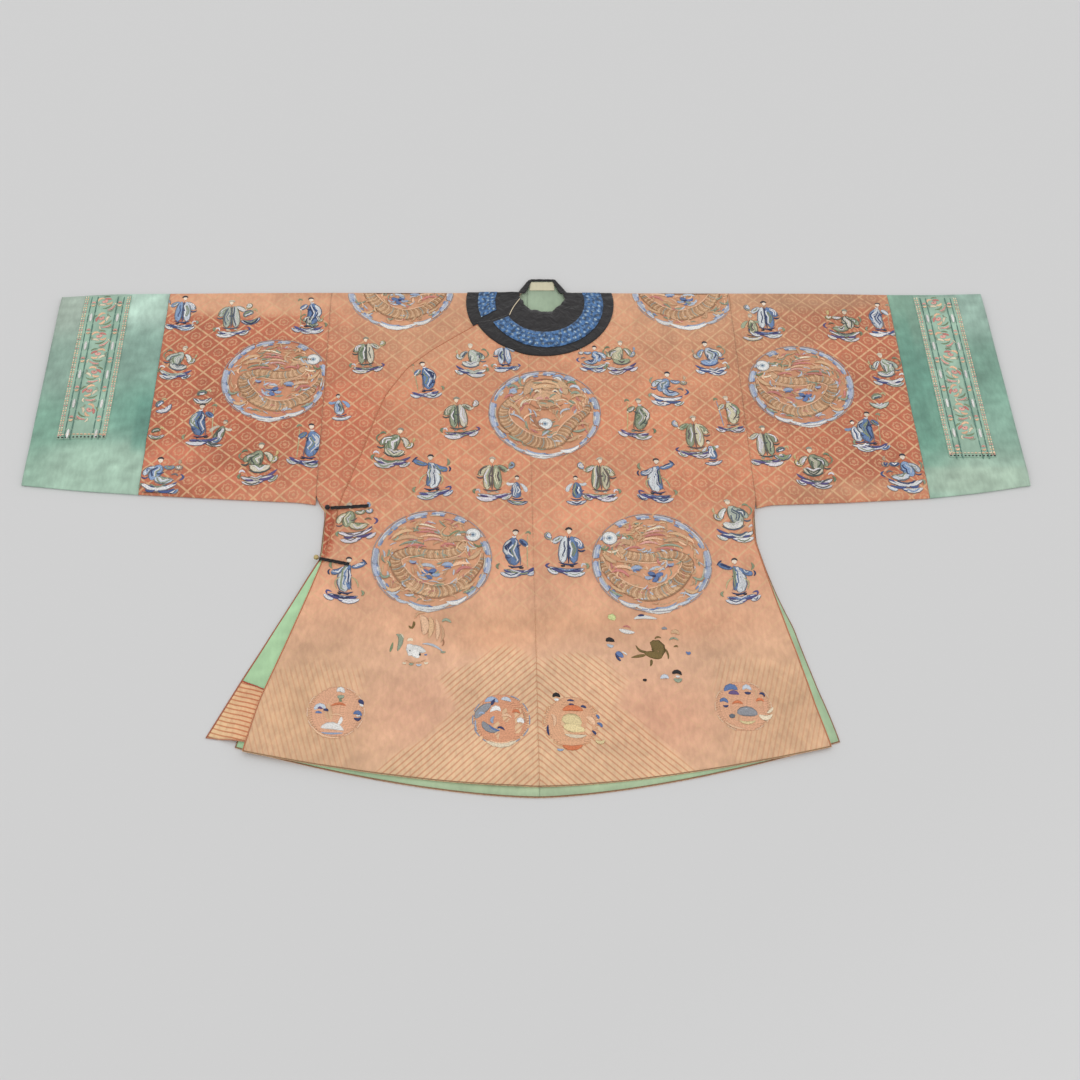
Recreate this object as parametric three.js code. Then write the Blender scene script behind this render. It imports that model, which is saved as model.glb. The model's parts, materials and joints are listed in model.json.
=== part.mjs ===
// A lined silk robe with a side closing, laid flat on its back with both sleeves spread.
// Millimetres, +Z up. The garment is drawn with the shoulder fold along Y = 0 and the centre-front
// seam at X = 0, the wearer's left side on +X, and is then moved so that the origin lies under
// the middle of its box.
import * as THREE from "three";

// Cloth and layers
const CLOTH = 1.0; // silk together with its backing
const TRIM = 0.6; // ribbons and bands
const GAP = 0.3; // between neighbouring pieces
const LAYER = CLOTH + GAP;
const BACK = CLOTH / 2; // mid-height of each layer of cloth
const LINING = BACK + LAYER;
const UNDER = LINING + LAYER;
const LOFT = 0.7; // extra room under cloth that crosses soft folds
const OVER = UNDER + LAYER + LOFT;
const FOLD = (UNDER - BACK) / 2; // radius of a folded edge, at mid-cloth
const ON_TOP = CLOTH / 2 + GAP; // from mid-cloth to the underside of what lies on it
const REST = ON_TOP + 0.2; // the same, for what crosses a slope

// Outline
const SHOULDER = 4; // the fold along the top of the body
const SEAM_RIGHT = -350; // sleeve joints
const SEAM_LEFT = 365;
const HALF_GAP = GAP / 2;
const HEM = { start: -640, front: -978, back: -993, frontLift: 62, backLift: 83, halfWidth: 436 };
const UNDER_EDGE = -60; // hidden inner edge of the under flap
const RAMP = { from: -30, to: -6 }; // where the overlap comes down to the level of the left front
const LENGTH_STEP = 44; // between rows of the grid, down the length

// Half of the front on the wearer's left: outer edge down the length
const FRONT_LEFT = [
  { y: 10, outer: 365 },
  { y: -474, outer: 365 },
  { y: -486, outer: 360 },
  { y: -546, outer: 356 },
  { y: -600, outer: 366 },
  { y: -694, outer: 384 },
  { y: -780, outer: 399 },
  { y: -900, outer: 416 },
  { y: -978, outer: 430 },
];
// The overlap on the wearer's right: its curved closing edge, then its open side
const OVERLAP = [
  { y: -58, outer: -32 },
  { y: -72, outer: -85 },
  { y: -135, outer: -167 },
  { y: -178, outer: -210 },
  { y: -236, outer: -244 },
  { y: -287, outer: -261 },
  { y: -356, outer: -278 },
  { y: -461, outer: -310 },
  { y: -573, outer: -330 },
  { y: -698, outer: -367 },
  { y: -780, outer: -388 },
  { y: -870, outer: -410 },
  { y: -978, outer: -429 },
];
// The right shoulder, which runs on beneath the overlap as the under flap
const UNDER_FRONT = [
  { y: 10, outer: -350 },
  { y: -466, outer: -350 },
  { y: -480, outer: -330 },
  { y: -568, outer: -334 },
  { y: -580, outer: -337 },
];
// Backs, to each side of the centre-back seam
const BACK_LEFT = [
  { y: 60, outer: 365 },
  { y: -474, outer: 365 },
  { y: -486, outer: 361 },
  { y: -546, outer: 358 },
  { y: -642, outer: 378 },
  { y: -719, outer: 399 },
  { y: -880, outer: 423 },
  { y: -993, outer: 444 },
];
const BACK_RIGHT = [
  { y: 60, outer: -350 },
  { y: -466, outer: -350 },
  { y: -480, outer: -333 },
  { y: -568, outer: -337 },
  { y: -640, outer: -352 },
  { y: -719, outer: -381 },
  { y: -880, outer: -416 },
  { y: -993, outer: -441 },
];
// Under flap below the silk: each row runs from its top seam, through the border seam, to the hem
const FLAP = [
  { across: 0, topX: -340, seamX: -443, seamY: -795, hemX: -487, hemY: -891 },
  { across: 0.12, topX: -303, seamX: -403, seamY: -815, hemX: -431, hemY: -900 },
  { across: 0.5, topX: -185, seamX: -222, seamY: -842, hemX: -232, hemY: -924 },
  { across: 1, topX: -60, seamX: -60, seamY: -857, hemX: -60, hemY: -938 },
];
const FLAP_TOP = -580;
const FLOOR_DROP = { from: 4, to: 26 }; // how far past the back the flap comes down to the floor
// Sleeves and cuffs: top fold and lower edge along the arm
const SLEEVE_RIGHT = [
  { x: -350, top: 4, bottom: -470 },
  { x: -376, top: 4, bottom: -465 },
  { x: -489, top: 3, bottom: -458 },
  { x: -636, top: 1, bottom: -448 },
  { x: -730, top: 0, bottom: -440 },
  { x: -827, top: -8, bottom: -428 },
];
const SLEEVE_LEFT = [
  { x: 365, top: 4, bottom: -480 },
  { x: 386, top: 4, bottom: -473 },
  { x: 521, top: 4, bottom: -468 },
  { x: 653, top: 1, bottom: -460 },
  { x: 740, top: 1, bottom: -449 },
  { x: 826, top: 4, bottom: -434 },
];
const CUFF_RIGHT = -637; // cuff seams
const CUFF_LEFT = 653.5;
const BAND = { right: { from: -785, to: -704, bottom: -336 }, left: { from: 700, to: 779, bottom: -378 } };
// Neck, as rings from the opening outwards; angles in degrees, anticlockwise from +X
const NECK = { x: 28, y: -8, r: 40 };
const COLLAR_TOP = 3; // the collar's pieces end here, at the shoulder fold
const COLLAR_RINGS = [
  { x: 28, y: -8, r: 40, start: 187 },
  { x: 29, y: -20, r: 74, start: 212 },
  { x: 32, y: -26, r: 104, start: 207 },
  { x: 27, y: -22, r: 128, start: 204 },
];
const UNDER_RINGS = [
  { x: 28, y: -8, r: 41, start: 186 },
  { x: 27, y: -22, r: 84, start: 193 },
  { x: 27, y: -22, r: 115, start: 199 },
  { x: 27, y: -22, r: 136, start: 201 },
];
const TONGUE = { from: -11, full: 12, fall: 44, to: 67, rise: 34 }; // back neck above the shoulder fold
const LABEL = { left: 12, right: 44, low: 5, high: 29, thickness: 0.5 };
const BINDING_RADIUS = 1.2;
const LOOP = { radius: 0.8, from: [-13, -16], to: [-32, -56] };
// Closings: a knot on the outer end of a cord stitched to the overlap
const TOGGLES = {
  upper: { knot: [-330, -481], end: [-264, -477] },
  lower: { knot: [-342, -579], end: [-290, -591] },
};
const KNOT_RADIUS = 4.5;
const CORD = { halfWidth: 3, halfHeight: 1.4 };
// Largest soft folds of the laid cloth, each from one end to the other
const FOLDS = [
  { x0: -590, y0: -425, x1: -560, y1: -300, width: 24, height: 1.6 },
  { x0: -505, y0: -430, x1: -470, y1: -345, width: 20, height: 1.2 },
  { x0: -420, y0: -350, x1: -380, y1: -440, width: 22, height: 1.0 },
  { x0: 260, y0: -468, x1: 345, y1: -474, width: 15, height: 1.8 },
  { x0: 420, y0: -420, x1: 470, y1: -330, width: 24, height: 1.2 },
  { x0: 560, y0: -430, x1: 600, y1: -330, width: 22, height: 1.3 },
  { x0: -280, y0: -660, x1: -100, y1: -690, width: 20, height: 1.0 },
  { x0: 70, y0: -690, x1: 290, y1: -655, width: 20, height: 1.2 },
  { x0: -230, y0: -800, x1: -110, y1: -850, width: 22, height: 1.2 },
  { x0: 110, y0: -850, x1: 240, y1: -790, width: 22, height: 1.3 },
  { x0: -120, y0: -330, x1: -140, y1: -520, width: 27, height: 0.8 },
  { x0: 180, y0: -250, x1: 200, y1: -500, width: 27, height: 0.8 },
];

// Materials
const cloth = (color, roughness) =>
  new THREE.MeshStandardMaterial({ color, roughness, metalness: 0, side: THREE.DoubleSide });
const SILK = cloth(0xc9774f, 0.6);
const LINING_CLOTH = cloth(0x9fd2b4, 0.75);
const CUFF_SILK = cloth(0x6fa88c, 0.6);
const BAND_SILK = cloth(0xdcc3bd, 0.65);
const SATIN = cloth(0x26252b, 0.5);
const RIBBON = cloth(0x3a66a0, 0.6);
const LABEL_CLOTH = cloth(0xe8e0cc, 0.85);
const BRASS = new THREE.MeshStandardMaterial({ color: 0xc8a866, roughness: 0.4, metalness: 1 });

const robe = new THREE.Group();

// Helpers
const mix = (a, b, t) => a + (b - a) * t;
const radians = (degrees) => (degrees * Math.PI) / 180;

function smooth(from, to, value) {
  const t = Math.min(1, Math.max(0, (value - from) / (to - from)));
  return t * t * (3 - 2 * t);
}

// Reads one column of a table at a place on its key column, with straight lines between rows.
function read(table, key, place, column) {
  for (let i = 1; i < table.length; i++) {
    const a = table[i - 1];
    const b = table[i];
    const t = (place - a[key]) / (b[key] - a[key]);
    if (t <= 1 || i === table.length - 1) return mix(a[column], b[column], Math.max(0, t));
  }
  return table[0][column];
}

// Evenly spaced values from one end to the other, no further apart than the step.
function steps(from, to, step) {
  const count = Math.max(1, Math.ceil(Math.abs(to - from) / step));
  return Array.from({ length: count + 1 }, (_, i) => mix(from, to, i / count));
}

// Height of the soft folds over a place on the garment, fading out towards the shoulder.
function puff(x, y) {
  let height = 0;
  for (const fold of FOLDS) {
    const dx = fold.x1 - fold.x0;
    const dy = fold.y1 - fold.y0;
    const along = ((x - fold.x0) * dx + (y - fold.y0) * dy) / (dx * dx + dy * dy);
    const t = Math.min(1, Math.max(0, along));
    const away = Math.hypot(x - fold.x0 - dx * t, y - fold.y0 - dy * t);
    height += fold.height * Math.exp(-((away / fold.width) ** 2));
  }
  return height * smooth(0, 30, SHOULDER - y);
}

// Mid-height of the outermost cloth of the front.
function frontLevel(x, y) {
  return mix(OVER, UNDER, smooth(RAMP.from, RAMP.to, x)) + puff(x, y);
}

// Mid-height of the under flap, which comes down to the floor past the edge of the back. The loop
// finds the row of the back whose lifted hem line passes through this place.
function flapLevel(x, y) {
  let row = y;
  for (let i = 0; i < 8; i++) row = y - hemRise(x, row, HEM.back, HEM.backLift);
  const past = read(BACK_RIGHT, "y", row, "outer") - x;
  return mix(UNDER + puff(x, y), BACK, smooth(FLOOR_DROP.from, FLOOR_DROP.to, past));
}

// A hem curves up towards its sides: the lift at a place x on the row that starts at y.
function hemRise(x, y, hem, lift) {
  return lift * smooth(HEM.start, hem, y) * (Math.abs(x) / HEM.halfWidth) ** 1.6;
}

// Makes a closed wall on a grid of mid-surface points. Both faces lie half a thickness out along
// the normals; a wrapped grid closes on itself across, as a tube does.
function wall(name, material, grid, thickness, wrap = false) {
  const rows = grid.length;
  const cols = grid[0].length;
  const at = (j, i) => {
    const row = grid[Math.min(rows - 1, Math.max(0, j))];
    return wrap ? row[(i + cols) % cols] : row[Math.min(cols - 1, Math.max(0, i))];
  };
  const faces = [[], []];
  for (let j = 0; j < rows; j++) {
    for (let i = 0; i < cols; i++) {
      const across = at(j, i + 1).clone().sub(at(j, i - 1));
      const along = at(j + 1, i).clone().sub(at(j - 1, i));
      const normal = across.cross(along).normalize().multiplyScalar(thickness / 2);
      faces[0].push(at(j, i).clone().add(normal));
      faces[1].push(at(j, i).clone().sub(normal));
    }
  }
  const far = rows * cols;
  const index = [];
  const quad = (a, b, c, d) => index.push(a, b, c, a, c, d);
  const id = (j, i) => j * cols + (i % cols);
  const lastCol = wrap ? cols : cols - 1;
  for (let j = 0; j < rows - 1; j++) {
    for (let i = 0; i < lastCol; i++) {
      quad(id(j, i), id(j, i + 1), id(j + 1, i + 1), id(j + 1, i));
      quad(far + id(j, i), far + id(j + 1, i), far + id(j + 1, i + 1), far + id(j, i + 1));
    }
  }
  for (let i = 0; i < lastCol; i++) {
    quad(id(0, i), far + id(0, i), far + id(0, i + 1), id(0, i + 1));
    quad(id(rows - 1, i), id(rows - 1, i + 1), far + id(rows - 1, i + 1), far + id(rows - 1, i));
  }
  for (let j = 0; j < rows - 1 && !wrap; j++) {
    quad(id(j, 0), id(j + 1, 0), far + id(j + 1, 0), far + id(j, 0));
    quad(id(j, cols - 1), far + id(j, cols - 1), far + id(j + 1, cols - 1), id(j + 1, cols - 1));
  }
  const points = faces.flat();
  add(name, material, facingOut(points, index));
}

// A geometry from points and triangles, turned round if it came out with its faces inwards.
function facingOut(points, index) {
  let volume = 0;
  for (let i = 0; i < index.length; i += 3) {
    const [a, b, c] = [points[index[i]], points[index[i + 1]], points[index[i + 2]]];
    volume += a.dot(b.clone().cross(c));
  }
  if (volume < 0) index.reverse();
  const geometry = new THREE.BufferGeometry().setFromPoints(points);
  geometry.setIndex(index);
  geometry.computeVertexNormals();
  return geometry;
}

function add(name, material, geometry) {
  const mesh = new THREE.Mesh(geometry, material);
  mesh.name = name;
  robe.add(mesh);
}

// A round cord or binding through a few points.
function rope(name, material, points, radius) {
  const path = new THREE.CatmullRomCurve3(points);
  const section = new THREE.Shape(new THREE.EllipseCurve(0, 0, radius, radius).getPoints(8).slice(0, 8));
  add(name, material, new THREE.ExtrudeGeometry(section, { extrudePath: path, steps: 10 }));
}

// Columns of a front, closer together beside the centre seam.
const FRACTIONS = [0, 0.07, 0.16, 0.28, 0.42, 0.56, 0.7, 0.85, 1];

// A front panel: rows round the shoulder fold first, if it has one, and then down to the hem.
function frontPanel(name, table, inner, level, fromY, toY, folded) {
  const grid = [];
  const point = (x, y, z) => new THREE.Vector3(x, y, z);
  if (folded) {
    for (const turn of steps(-90, 45, 45)) {
      const y = SHOULDER - FOLD + FOLD * Math.cos(radians(turn));
      const z = BACK + FOLD + FOLD * Math.sin(radians(turn));
      grid.push(FRACTIONS.map((u) => point(mix(inner(SHOULDER), table[0].outer, u), y, z)));
    }
  }
  for (const y of [...new Set([...neckRows(fromY), ...steps(Math.min(fromY, -60), toY, LENGTH_STEP)])]) {
    grid.push(
      FRACTIONS.map((u) => {
        const x = mix(inner(y), read(table, "y", y, "outer"), u);
        const lifted = y + hemRise(x, y, HEM.front, HEM.frontLift);
        return point(x, lifted, level(x, lifted));
      }),
    );
  }
  wall(name, SILK, grid, CLOTH);
}

// Rows close together beside the neck opening.
function neckRows(fromY) {
  return [SHOULDER - FOLD, -14, -34, -44, -47.5, -50.5].filter((y) => y <= fromY);
}

// Inner edge of a front beside the neck, and its straight edge below it.
function besideNeck(side, below) {
  return (y) => {
    const up = y - NECK.y;
    if (Math.abs(up) >= NECK.r) return below;
    return NECK.x + side * (Math.sqrt(NECK.r ** 2 - up ** 2) + 1);
  };
}

function fronts() {
  frontPanel("front_left", FRONT_LEFT, besideNeck(1, HALF_GAP), frontLevel, SHOULDER - FOLD, HEM.front, true);
  frontPanel("front_overlap", OVERLAP, () => -HALF_GAP, frontLevel, -58, HEM.front, false);
  const underInner = besideNeck(-1, UNDER_EDGE);
  frontPanel("under_front", UNDER_FRONT, underInner, flapLevel, SHOULDER - FOLD, FLAP_TOP, true);
}

// The part of the under flap below its silk, in two pieces: plain cloth and a border to the hem.
function underFlap() {
  const across = [...steps(0, 0.28, 0.024), ...steps(0.28, 1, 0.12).slice(1)]; // closer where it drops
  const rowPoint = (u, t) => {
    const top = { x: read(FLAP, "across", u, "topX"), y: FLAP_TOP - GAP };
    const seam = { x: read(FLAP, "across", u, "seamX"), y: read(FLAP, "across", u, "seamY") };
    const hem = { x: read(FLAP, "across", u, "hemX"), y: read(FLAP, "across", u, "hemY") };
    const [a, b, part] = t < 1 ? [top, seam, t] : [seam, hem, t - 1];
    const x = mix(a.x, b.x, part);
    const y = mix(a.y, b.y, part);
    return new THREE.Vector3(x, y, flapLevel(x, y));
  };
  const grid = (from, to, step) => steps(from, to, step).map((t) => across.map((u) => rowPoint(u, t)));
  wall("underlap_plain", LINING_CLOTH, grid(0, 0.998, 0.17), CLOTH);
  wall("underlap_border", SILK, grid(1.002, 2, 0.34), CLOTH);
}

// Top edge of the back, with the tongue behind the neck.
function backTop(x) {
  const rise = smooth(TONGUE.from, TONGUE.full, x) * (1 - smooth(TONGUE.fall, TONGUE.to, x));
  return SHOULDER - FOLD - GAP + TONGUE.rise * rise;
}

// One half of the back, or of its lining, which is a little smaller all round.
function backPanel(name, material, table, side, level, inset, step) {
  const topY = SHOULDER - FOLD - GAP - inset;
  const rows = [60, ...steps(-50, HEM.back + inset, step)];
  const outer = table[0].outer;
  const tongue = side > 0 ? TONGUE.to : TONGUE.from;
  const columns = [...steps(0, tongue, 13), ...steps(tongue, outer, step).slice(1)].map((x) => x / outer);
  const grid = rows.map((y, j) =>
    columns.map((u) => {
      const x = mix(side * HALF_GAP, read(table, "y", y, "outer") - side * inset, u);
      const row = j === 0 ? backTop(x) - inset : Math.min(y, topY);
      return new THREE.Vector3(x, row + hemRise(x, row, HEM.back, HEM.backLift), level);
    }),
  );
  wall(name, material, grid, CLOTH);
}

function backs() {
  backPanel("back_left", SILK, BACK_LEFT, 1, BACK, 0, 68);
  backPanel("back_right", SILK, BACK_RIGHT, -1, BACK, 0, 68);
  backPanel("back_lining_left", LINING_CLOTH, BACK_LEFT, 1, LINING, 2, 84);
  backPanel("back_lining_right", LINING_CLOTH, BACK_RIGHT, -1, LINING, 2, 84);
}

// Height of the upper side of a sleeve, flat along both folded edges.
function sleeveLevel(x, y, top, bottom) {
  return UNDER + puff(x, y) * smooth(0, 30, top - y) * smooth(0, 22, y - bottom);
}

// A flattened tube of cloth, from one place along the arm to another.
function sleeve(name, material, table, from, to, step) {
  const grid = steps(from, to, step).map((x) => {
    const top = read(table, "x", x, "top");
    const bottom = read(table, "x", x, "bottom");
    const loop = [];
    for (const t of steps(0, 1, 0.25)) loop.push([mix(bottom + FOLD, top - FOLD, t), BACK]);
    const turned = (y, turn) => [y + FOLD * Math.cos(radians(turn)), BACK + FOLD + FOLD * Math.sin(radians(turn))];
    for (const turn of [-45, 0, 45]) loop.push(turned(top - FOLD, turn));
    for (const t of steps(0, 1, 0.1)) {
      const y = mix(top - FOLD, bottom + FOLD, t);
      loop.push([y, sleeveLevel(x, y, top, bottom)]);
    }
    for (const turn of [135, 180, 225]) loop.push(turned(bottom + FOLD, turn));
    return loop.map(([y, z]) => new THREE.Vector3(x, y, z));
  });
  wall(name, material, grid, CLOTH, true);
}

// An embroidered strip on the upper side of a cuff, from its top fold down.
function cuffBand(name, table, band) {
  const grid = steps(SHOULDER - 8, band.bottom, LENGTH_STEP).map((y) =>
    steps(band.from, band.to, 41).map((x) => {
      const top = read(table, "x", x, "top");
      const bottom = read(table, "x", x, "bottom");
      const place = Math.min(y, top - FOLD);
      return new THREE.Vector3(x, place, sleeveLevel(x, place, top, bottom) + ON_TOP + TRIM / 2);
    }),
  );
  wall(name, BAND_SILK, grid, TRIM);
}

function sleeves() {
  sleeve("sleeve_right", SILK, SLEEVE_RIGHT, SEAM_RIGHT - GAP, CUFF_RIGHT + GAP, 36);
  sleeve("sleeve_left", SILK, SLEEVE_LEFT, SEAM_LEFT + GAP, CUFF_LEFT - GAP, 36);
  sleeve("cuff_right", CUFF_SILK, SLEEVE_RIGHT, CUFF_RIGHT, -827, 64);
  sleeve("cuff_left", CUFF_SILK, SLEEVE_LEFT, CUFF_LEFT, 826, 64);
  cuffBand("cuff_band_right", SLEEVE_RIGHT, BAND.right);
  cuffBand("cuff_band_left", SLEEVE_LEFT, BAND.left);
}

// A sector between rings round the neck; each ring runs from its start angle to the shoulder fold.
function collarPiece(name, material, rings, side, level, thickness, lift) {
  const turns = steps(0, 1, side > 0 ? 1 / 28 : 1 / 8);
  const between = steps(0, rings.length - 1, rings.length > 2 ? 1 : 0.5);
  const ringPoint = (ring, t) => {
    const above = (Math.asin((COLLAR_TOP - ring.y) / ring.r) * 180) / Math.PI;
    const end = side > 0 ? 360 + above : 180 - above;
    const angle = radians(mix(ring.start, end, t));
    return [ring.x + ring.r * Math.cos(angle), ring.y + ring.r * Math.sin(angle)];
  };
  const grid = between.map((r) =>
    turns.map((t) => {
      const low = Math.min(rings.length - 2, Math.floor(r));
      const [ax, ay] = ringPoint(rings[low], t);
      const [bx, by] = ringPoint(rings[low + 1], t);
      const x = mix(ax, bx, r - low);
      const y = mix(ay, by, r - low);
      return new THREE.Vector3(x, y, level(x, y) + lift + thickness / 2);
    }),
  );
  wall(name, material, grid, thickness);
}

function collar() {
  const ribbonLift = REST + CLOTH + GAP;
  const under = (x, y) => UNDER + puff(x, y);
  collarPiece("neck_facing", SATIN, COLLAR_RINGS, 1, frontLevel, CLOTH, REST);
  collarPiece("neck_ribbon", RIBBON, COLLAR_RINGS.slice(1, 3), 1, frontLevel, TRIM, ribbonLift);
  collarPiece("neck_facing_under", SATIN, UNDER_RINGS, -1, under, CLOTH, REST);
  collarPiece("neck_ribbon_under", RIBBON, UNDER_RINGS.slice(1, 3), -1, under, TRIM, ribbonLift);

  const labelZ = LINING + ON_TOP + LABEL.thickness / 2;
  const label = steps(LABEL.low, LABEL.high, 12).map((y) =>
    steps(LABEL.left, LABEL.right, 12).map((x) => new THREE.Vector3(x, y, labelZ)),
  );
  wall("neck_label", LABEL_CLOTH, label, LABEL.thickness);

  const bindingZ = LINING + ON_TOP + BINDING_RADIUS;
  const edge = steps(TONGUE.from + 5, TONGUE.to - 5, 7);
  const edgePoints = edge.map((x) => new THREE.Vector3(x, backTop(x) - 2, bindingZ));
  rope("neck_binding", SATIN, edgePoints, BINDING_RADIUS);

  const loopZ = OVER + REST + CLOTH + GAP + LOOP.radius;
  const loop = [0, 0.5, 1].map((t) => {
    const x = mix(LOOP.from[0], LOOP.to[0], t);
    const y = mix(LOOP.from[1], LOOP.to[1], t);
    return new THREE.Vector3(x - 2 * Math.sin(Math.PI * t), y, loopZ);
  });
  rope("neck_loop", LABEL_CLOTH, loop, LOOP.radius);
}

// A closing: a knotted ball clear of the overlap's edge, and the flat cord that runs back from it.
function toggle(name, knotMaterial, { knot, end }) {
  const ball = new THREE.SphereGeometry(KNOT_RADIUS, 12, 8);
  ball.rotateX(Math.PI / 2);
  const knotZ = OVER + ON_TOP + KNOT_RADIUS;
  ball.translate(knot[0], knot[1], knotZ);
  add(`${name}_knot`, knotMaterial, ball);

  const length = Math.hypot(end[0] - knot[0], end[1] - knot[1]);
  const clear = (KNOT_RADIUS + GAP) / length;
  const points = steps(clear, 1, 0.25).map((t) => {
    const x = mix(knot[0], end[0], t);
    const y = mix(knot[1], end[1], t);
    return new THREE.Vector3(x, y, frontLevel(x, y) + ON_TOP + CORD.halfHeight);
  });
  const path = new THREE.CatmullRomCurve3(points);
  const outline = new THREE.EllipseCurve(0, 0, CORD.halfHeight, CORD.halfWidth).getPoints(10).slice(0, 10);
  const cord = new THREE.ExtrudeGeometry(new THREE.Shape(outline), { extrudePath: path, steps: 6 });
  add(`${name}_cord`, SATIN, cord);
}

backs();
fronts();
underFlap();
sleeves();
collar();
toggle("toggle_upper", SATIN, TOGGLES.upper);
toggle("toggle_lower", BRASS, TOGGLES.lower);

// The origin lies under the middle of the box, on the surface that the robe rests on.
const box = new THREE.Box3().setFromObject(robe, true);
robe.position.set(-(box.min.x + box.max.x) / 2, -(box.min.y + box.max.y) / 2, -box.min.z);

export default robe;
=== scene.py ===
"""A lined silk robe with a side closing, laid flat on its back.

The garment is drawn in its own millimetres: X = 0 is the centre-front seam with the wearer's left
on +X, Y = 0 is near the shoulder fold with the hem at -Y, and Z is up from the floor.
Every cloth is a wall on a grid of points; every stitched motif is a set of padded satin bands
that lie on the cloth below them.
"""
import json

import bpy
import numpy as np
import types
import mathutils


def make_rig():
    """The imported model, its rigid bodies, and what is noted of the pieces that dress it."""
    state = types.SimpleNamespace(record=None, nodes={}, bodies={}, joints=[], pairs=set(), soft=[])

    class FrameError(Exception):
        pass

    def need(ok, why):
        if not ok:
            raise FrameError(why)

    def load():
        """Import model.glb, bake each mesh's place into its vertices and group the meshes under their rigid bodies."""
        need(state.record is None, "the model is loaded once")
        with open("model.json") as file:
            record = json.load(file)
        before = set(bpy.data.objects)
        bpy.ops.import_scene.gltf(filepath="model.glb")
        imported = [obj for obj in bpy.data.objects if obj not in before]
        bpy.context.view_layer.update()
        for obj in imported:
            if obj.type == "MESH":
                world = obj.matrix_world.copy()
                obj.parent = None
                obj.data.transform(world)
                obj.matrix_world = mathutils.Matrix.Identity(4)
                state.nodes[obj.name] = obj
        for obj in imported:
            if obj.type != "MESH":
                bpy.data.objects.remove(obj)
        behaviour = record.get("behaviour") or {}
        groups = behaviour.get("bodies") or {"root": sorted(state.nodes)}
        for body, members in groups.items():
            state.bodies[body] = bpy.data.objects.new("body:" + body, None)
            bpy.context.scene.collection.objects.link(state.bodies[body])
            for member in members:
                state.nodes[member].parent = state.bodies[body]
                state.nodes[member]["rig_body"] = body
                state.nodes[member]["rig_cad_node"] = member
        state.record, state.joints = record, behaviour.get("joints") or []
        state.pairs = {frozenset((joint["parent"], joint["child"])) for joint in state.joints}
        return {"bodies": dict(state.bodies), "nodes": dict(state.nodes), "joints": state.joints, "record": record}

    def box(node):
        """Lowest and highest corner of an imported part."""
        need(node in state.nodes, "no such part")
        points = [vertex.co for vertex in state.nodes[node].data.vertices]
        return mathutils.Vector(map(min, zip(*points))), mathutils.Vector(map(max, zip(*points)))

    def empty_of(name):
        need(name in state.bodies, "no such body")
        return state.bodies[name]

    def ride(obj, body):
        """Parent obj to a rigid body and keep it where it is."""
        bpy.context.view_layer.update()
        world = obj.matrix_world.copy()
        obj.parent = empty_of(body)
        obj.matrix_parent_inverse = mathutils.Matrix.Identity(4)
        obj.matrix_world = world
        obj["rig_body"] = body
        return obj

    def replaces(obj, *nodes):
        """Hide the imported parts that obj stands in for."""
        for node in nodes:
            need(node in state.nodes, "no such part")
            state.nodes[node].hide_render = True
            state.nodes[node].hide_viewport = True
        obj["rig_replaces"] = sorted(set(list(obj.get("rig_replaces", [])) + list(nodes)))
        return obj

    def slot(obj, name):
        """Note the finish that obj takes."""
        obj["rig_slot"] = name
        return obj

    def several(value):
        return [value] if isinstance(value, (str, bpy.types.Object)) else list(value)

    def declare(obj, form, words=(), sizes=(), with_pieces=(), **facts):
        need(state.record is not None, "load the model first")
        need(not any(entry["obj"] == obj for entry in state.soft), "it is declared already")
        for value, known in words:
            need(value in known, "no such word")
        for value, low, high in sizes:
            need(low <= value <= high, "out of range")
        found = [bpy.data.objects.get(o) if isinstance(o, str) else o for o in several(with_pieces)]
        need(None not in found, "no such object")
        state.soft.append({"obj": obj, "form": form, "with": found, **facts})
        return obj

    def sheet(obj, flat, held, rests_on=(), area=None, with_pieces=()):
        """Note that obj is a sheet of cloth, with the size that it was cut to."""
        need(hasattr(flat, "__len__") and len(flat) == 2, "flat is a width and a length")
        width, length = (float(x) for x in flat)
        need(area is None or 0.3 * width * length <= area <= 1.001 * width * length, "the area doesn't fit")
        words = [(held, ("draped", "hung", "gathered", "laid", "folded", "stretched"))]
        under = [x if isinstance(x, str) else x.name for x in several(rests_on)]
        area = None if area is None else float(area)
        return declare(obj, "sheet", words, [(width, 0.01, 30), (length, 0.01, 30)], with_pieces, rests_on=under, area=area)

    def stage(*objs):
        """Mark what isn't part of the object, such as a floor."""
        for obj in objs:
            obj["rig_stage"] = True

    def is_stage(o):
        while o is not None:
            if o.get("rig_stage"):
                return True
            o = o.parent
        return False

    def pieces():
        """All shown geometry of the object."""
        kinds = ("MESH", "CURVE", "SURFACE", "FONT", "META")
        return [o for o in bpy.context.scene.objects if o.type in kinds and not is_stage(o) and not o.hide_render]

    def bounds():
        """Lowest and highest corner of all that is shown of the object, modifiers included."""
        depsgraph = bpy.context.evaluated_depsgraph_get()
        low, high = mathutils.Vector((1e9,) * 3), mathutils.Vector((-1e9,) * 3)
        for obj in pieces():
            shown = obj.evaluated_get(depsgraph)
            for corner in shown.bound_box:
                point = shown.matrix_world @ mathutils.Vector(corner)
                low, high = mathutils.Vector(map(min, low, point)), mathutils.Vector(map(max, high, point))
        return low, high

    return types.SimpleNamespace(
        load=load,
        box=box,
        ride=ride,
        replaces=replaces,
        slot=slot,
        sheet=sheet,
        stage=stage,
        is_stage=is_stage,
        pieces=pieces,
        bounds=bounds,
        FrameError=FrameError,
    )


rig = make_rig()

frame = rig.load()
cad_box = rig.bounds()

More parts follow.
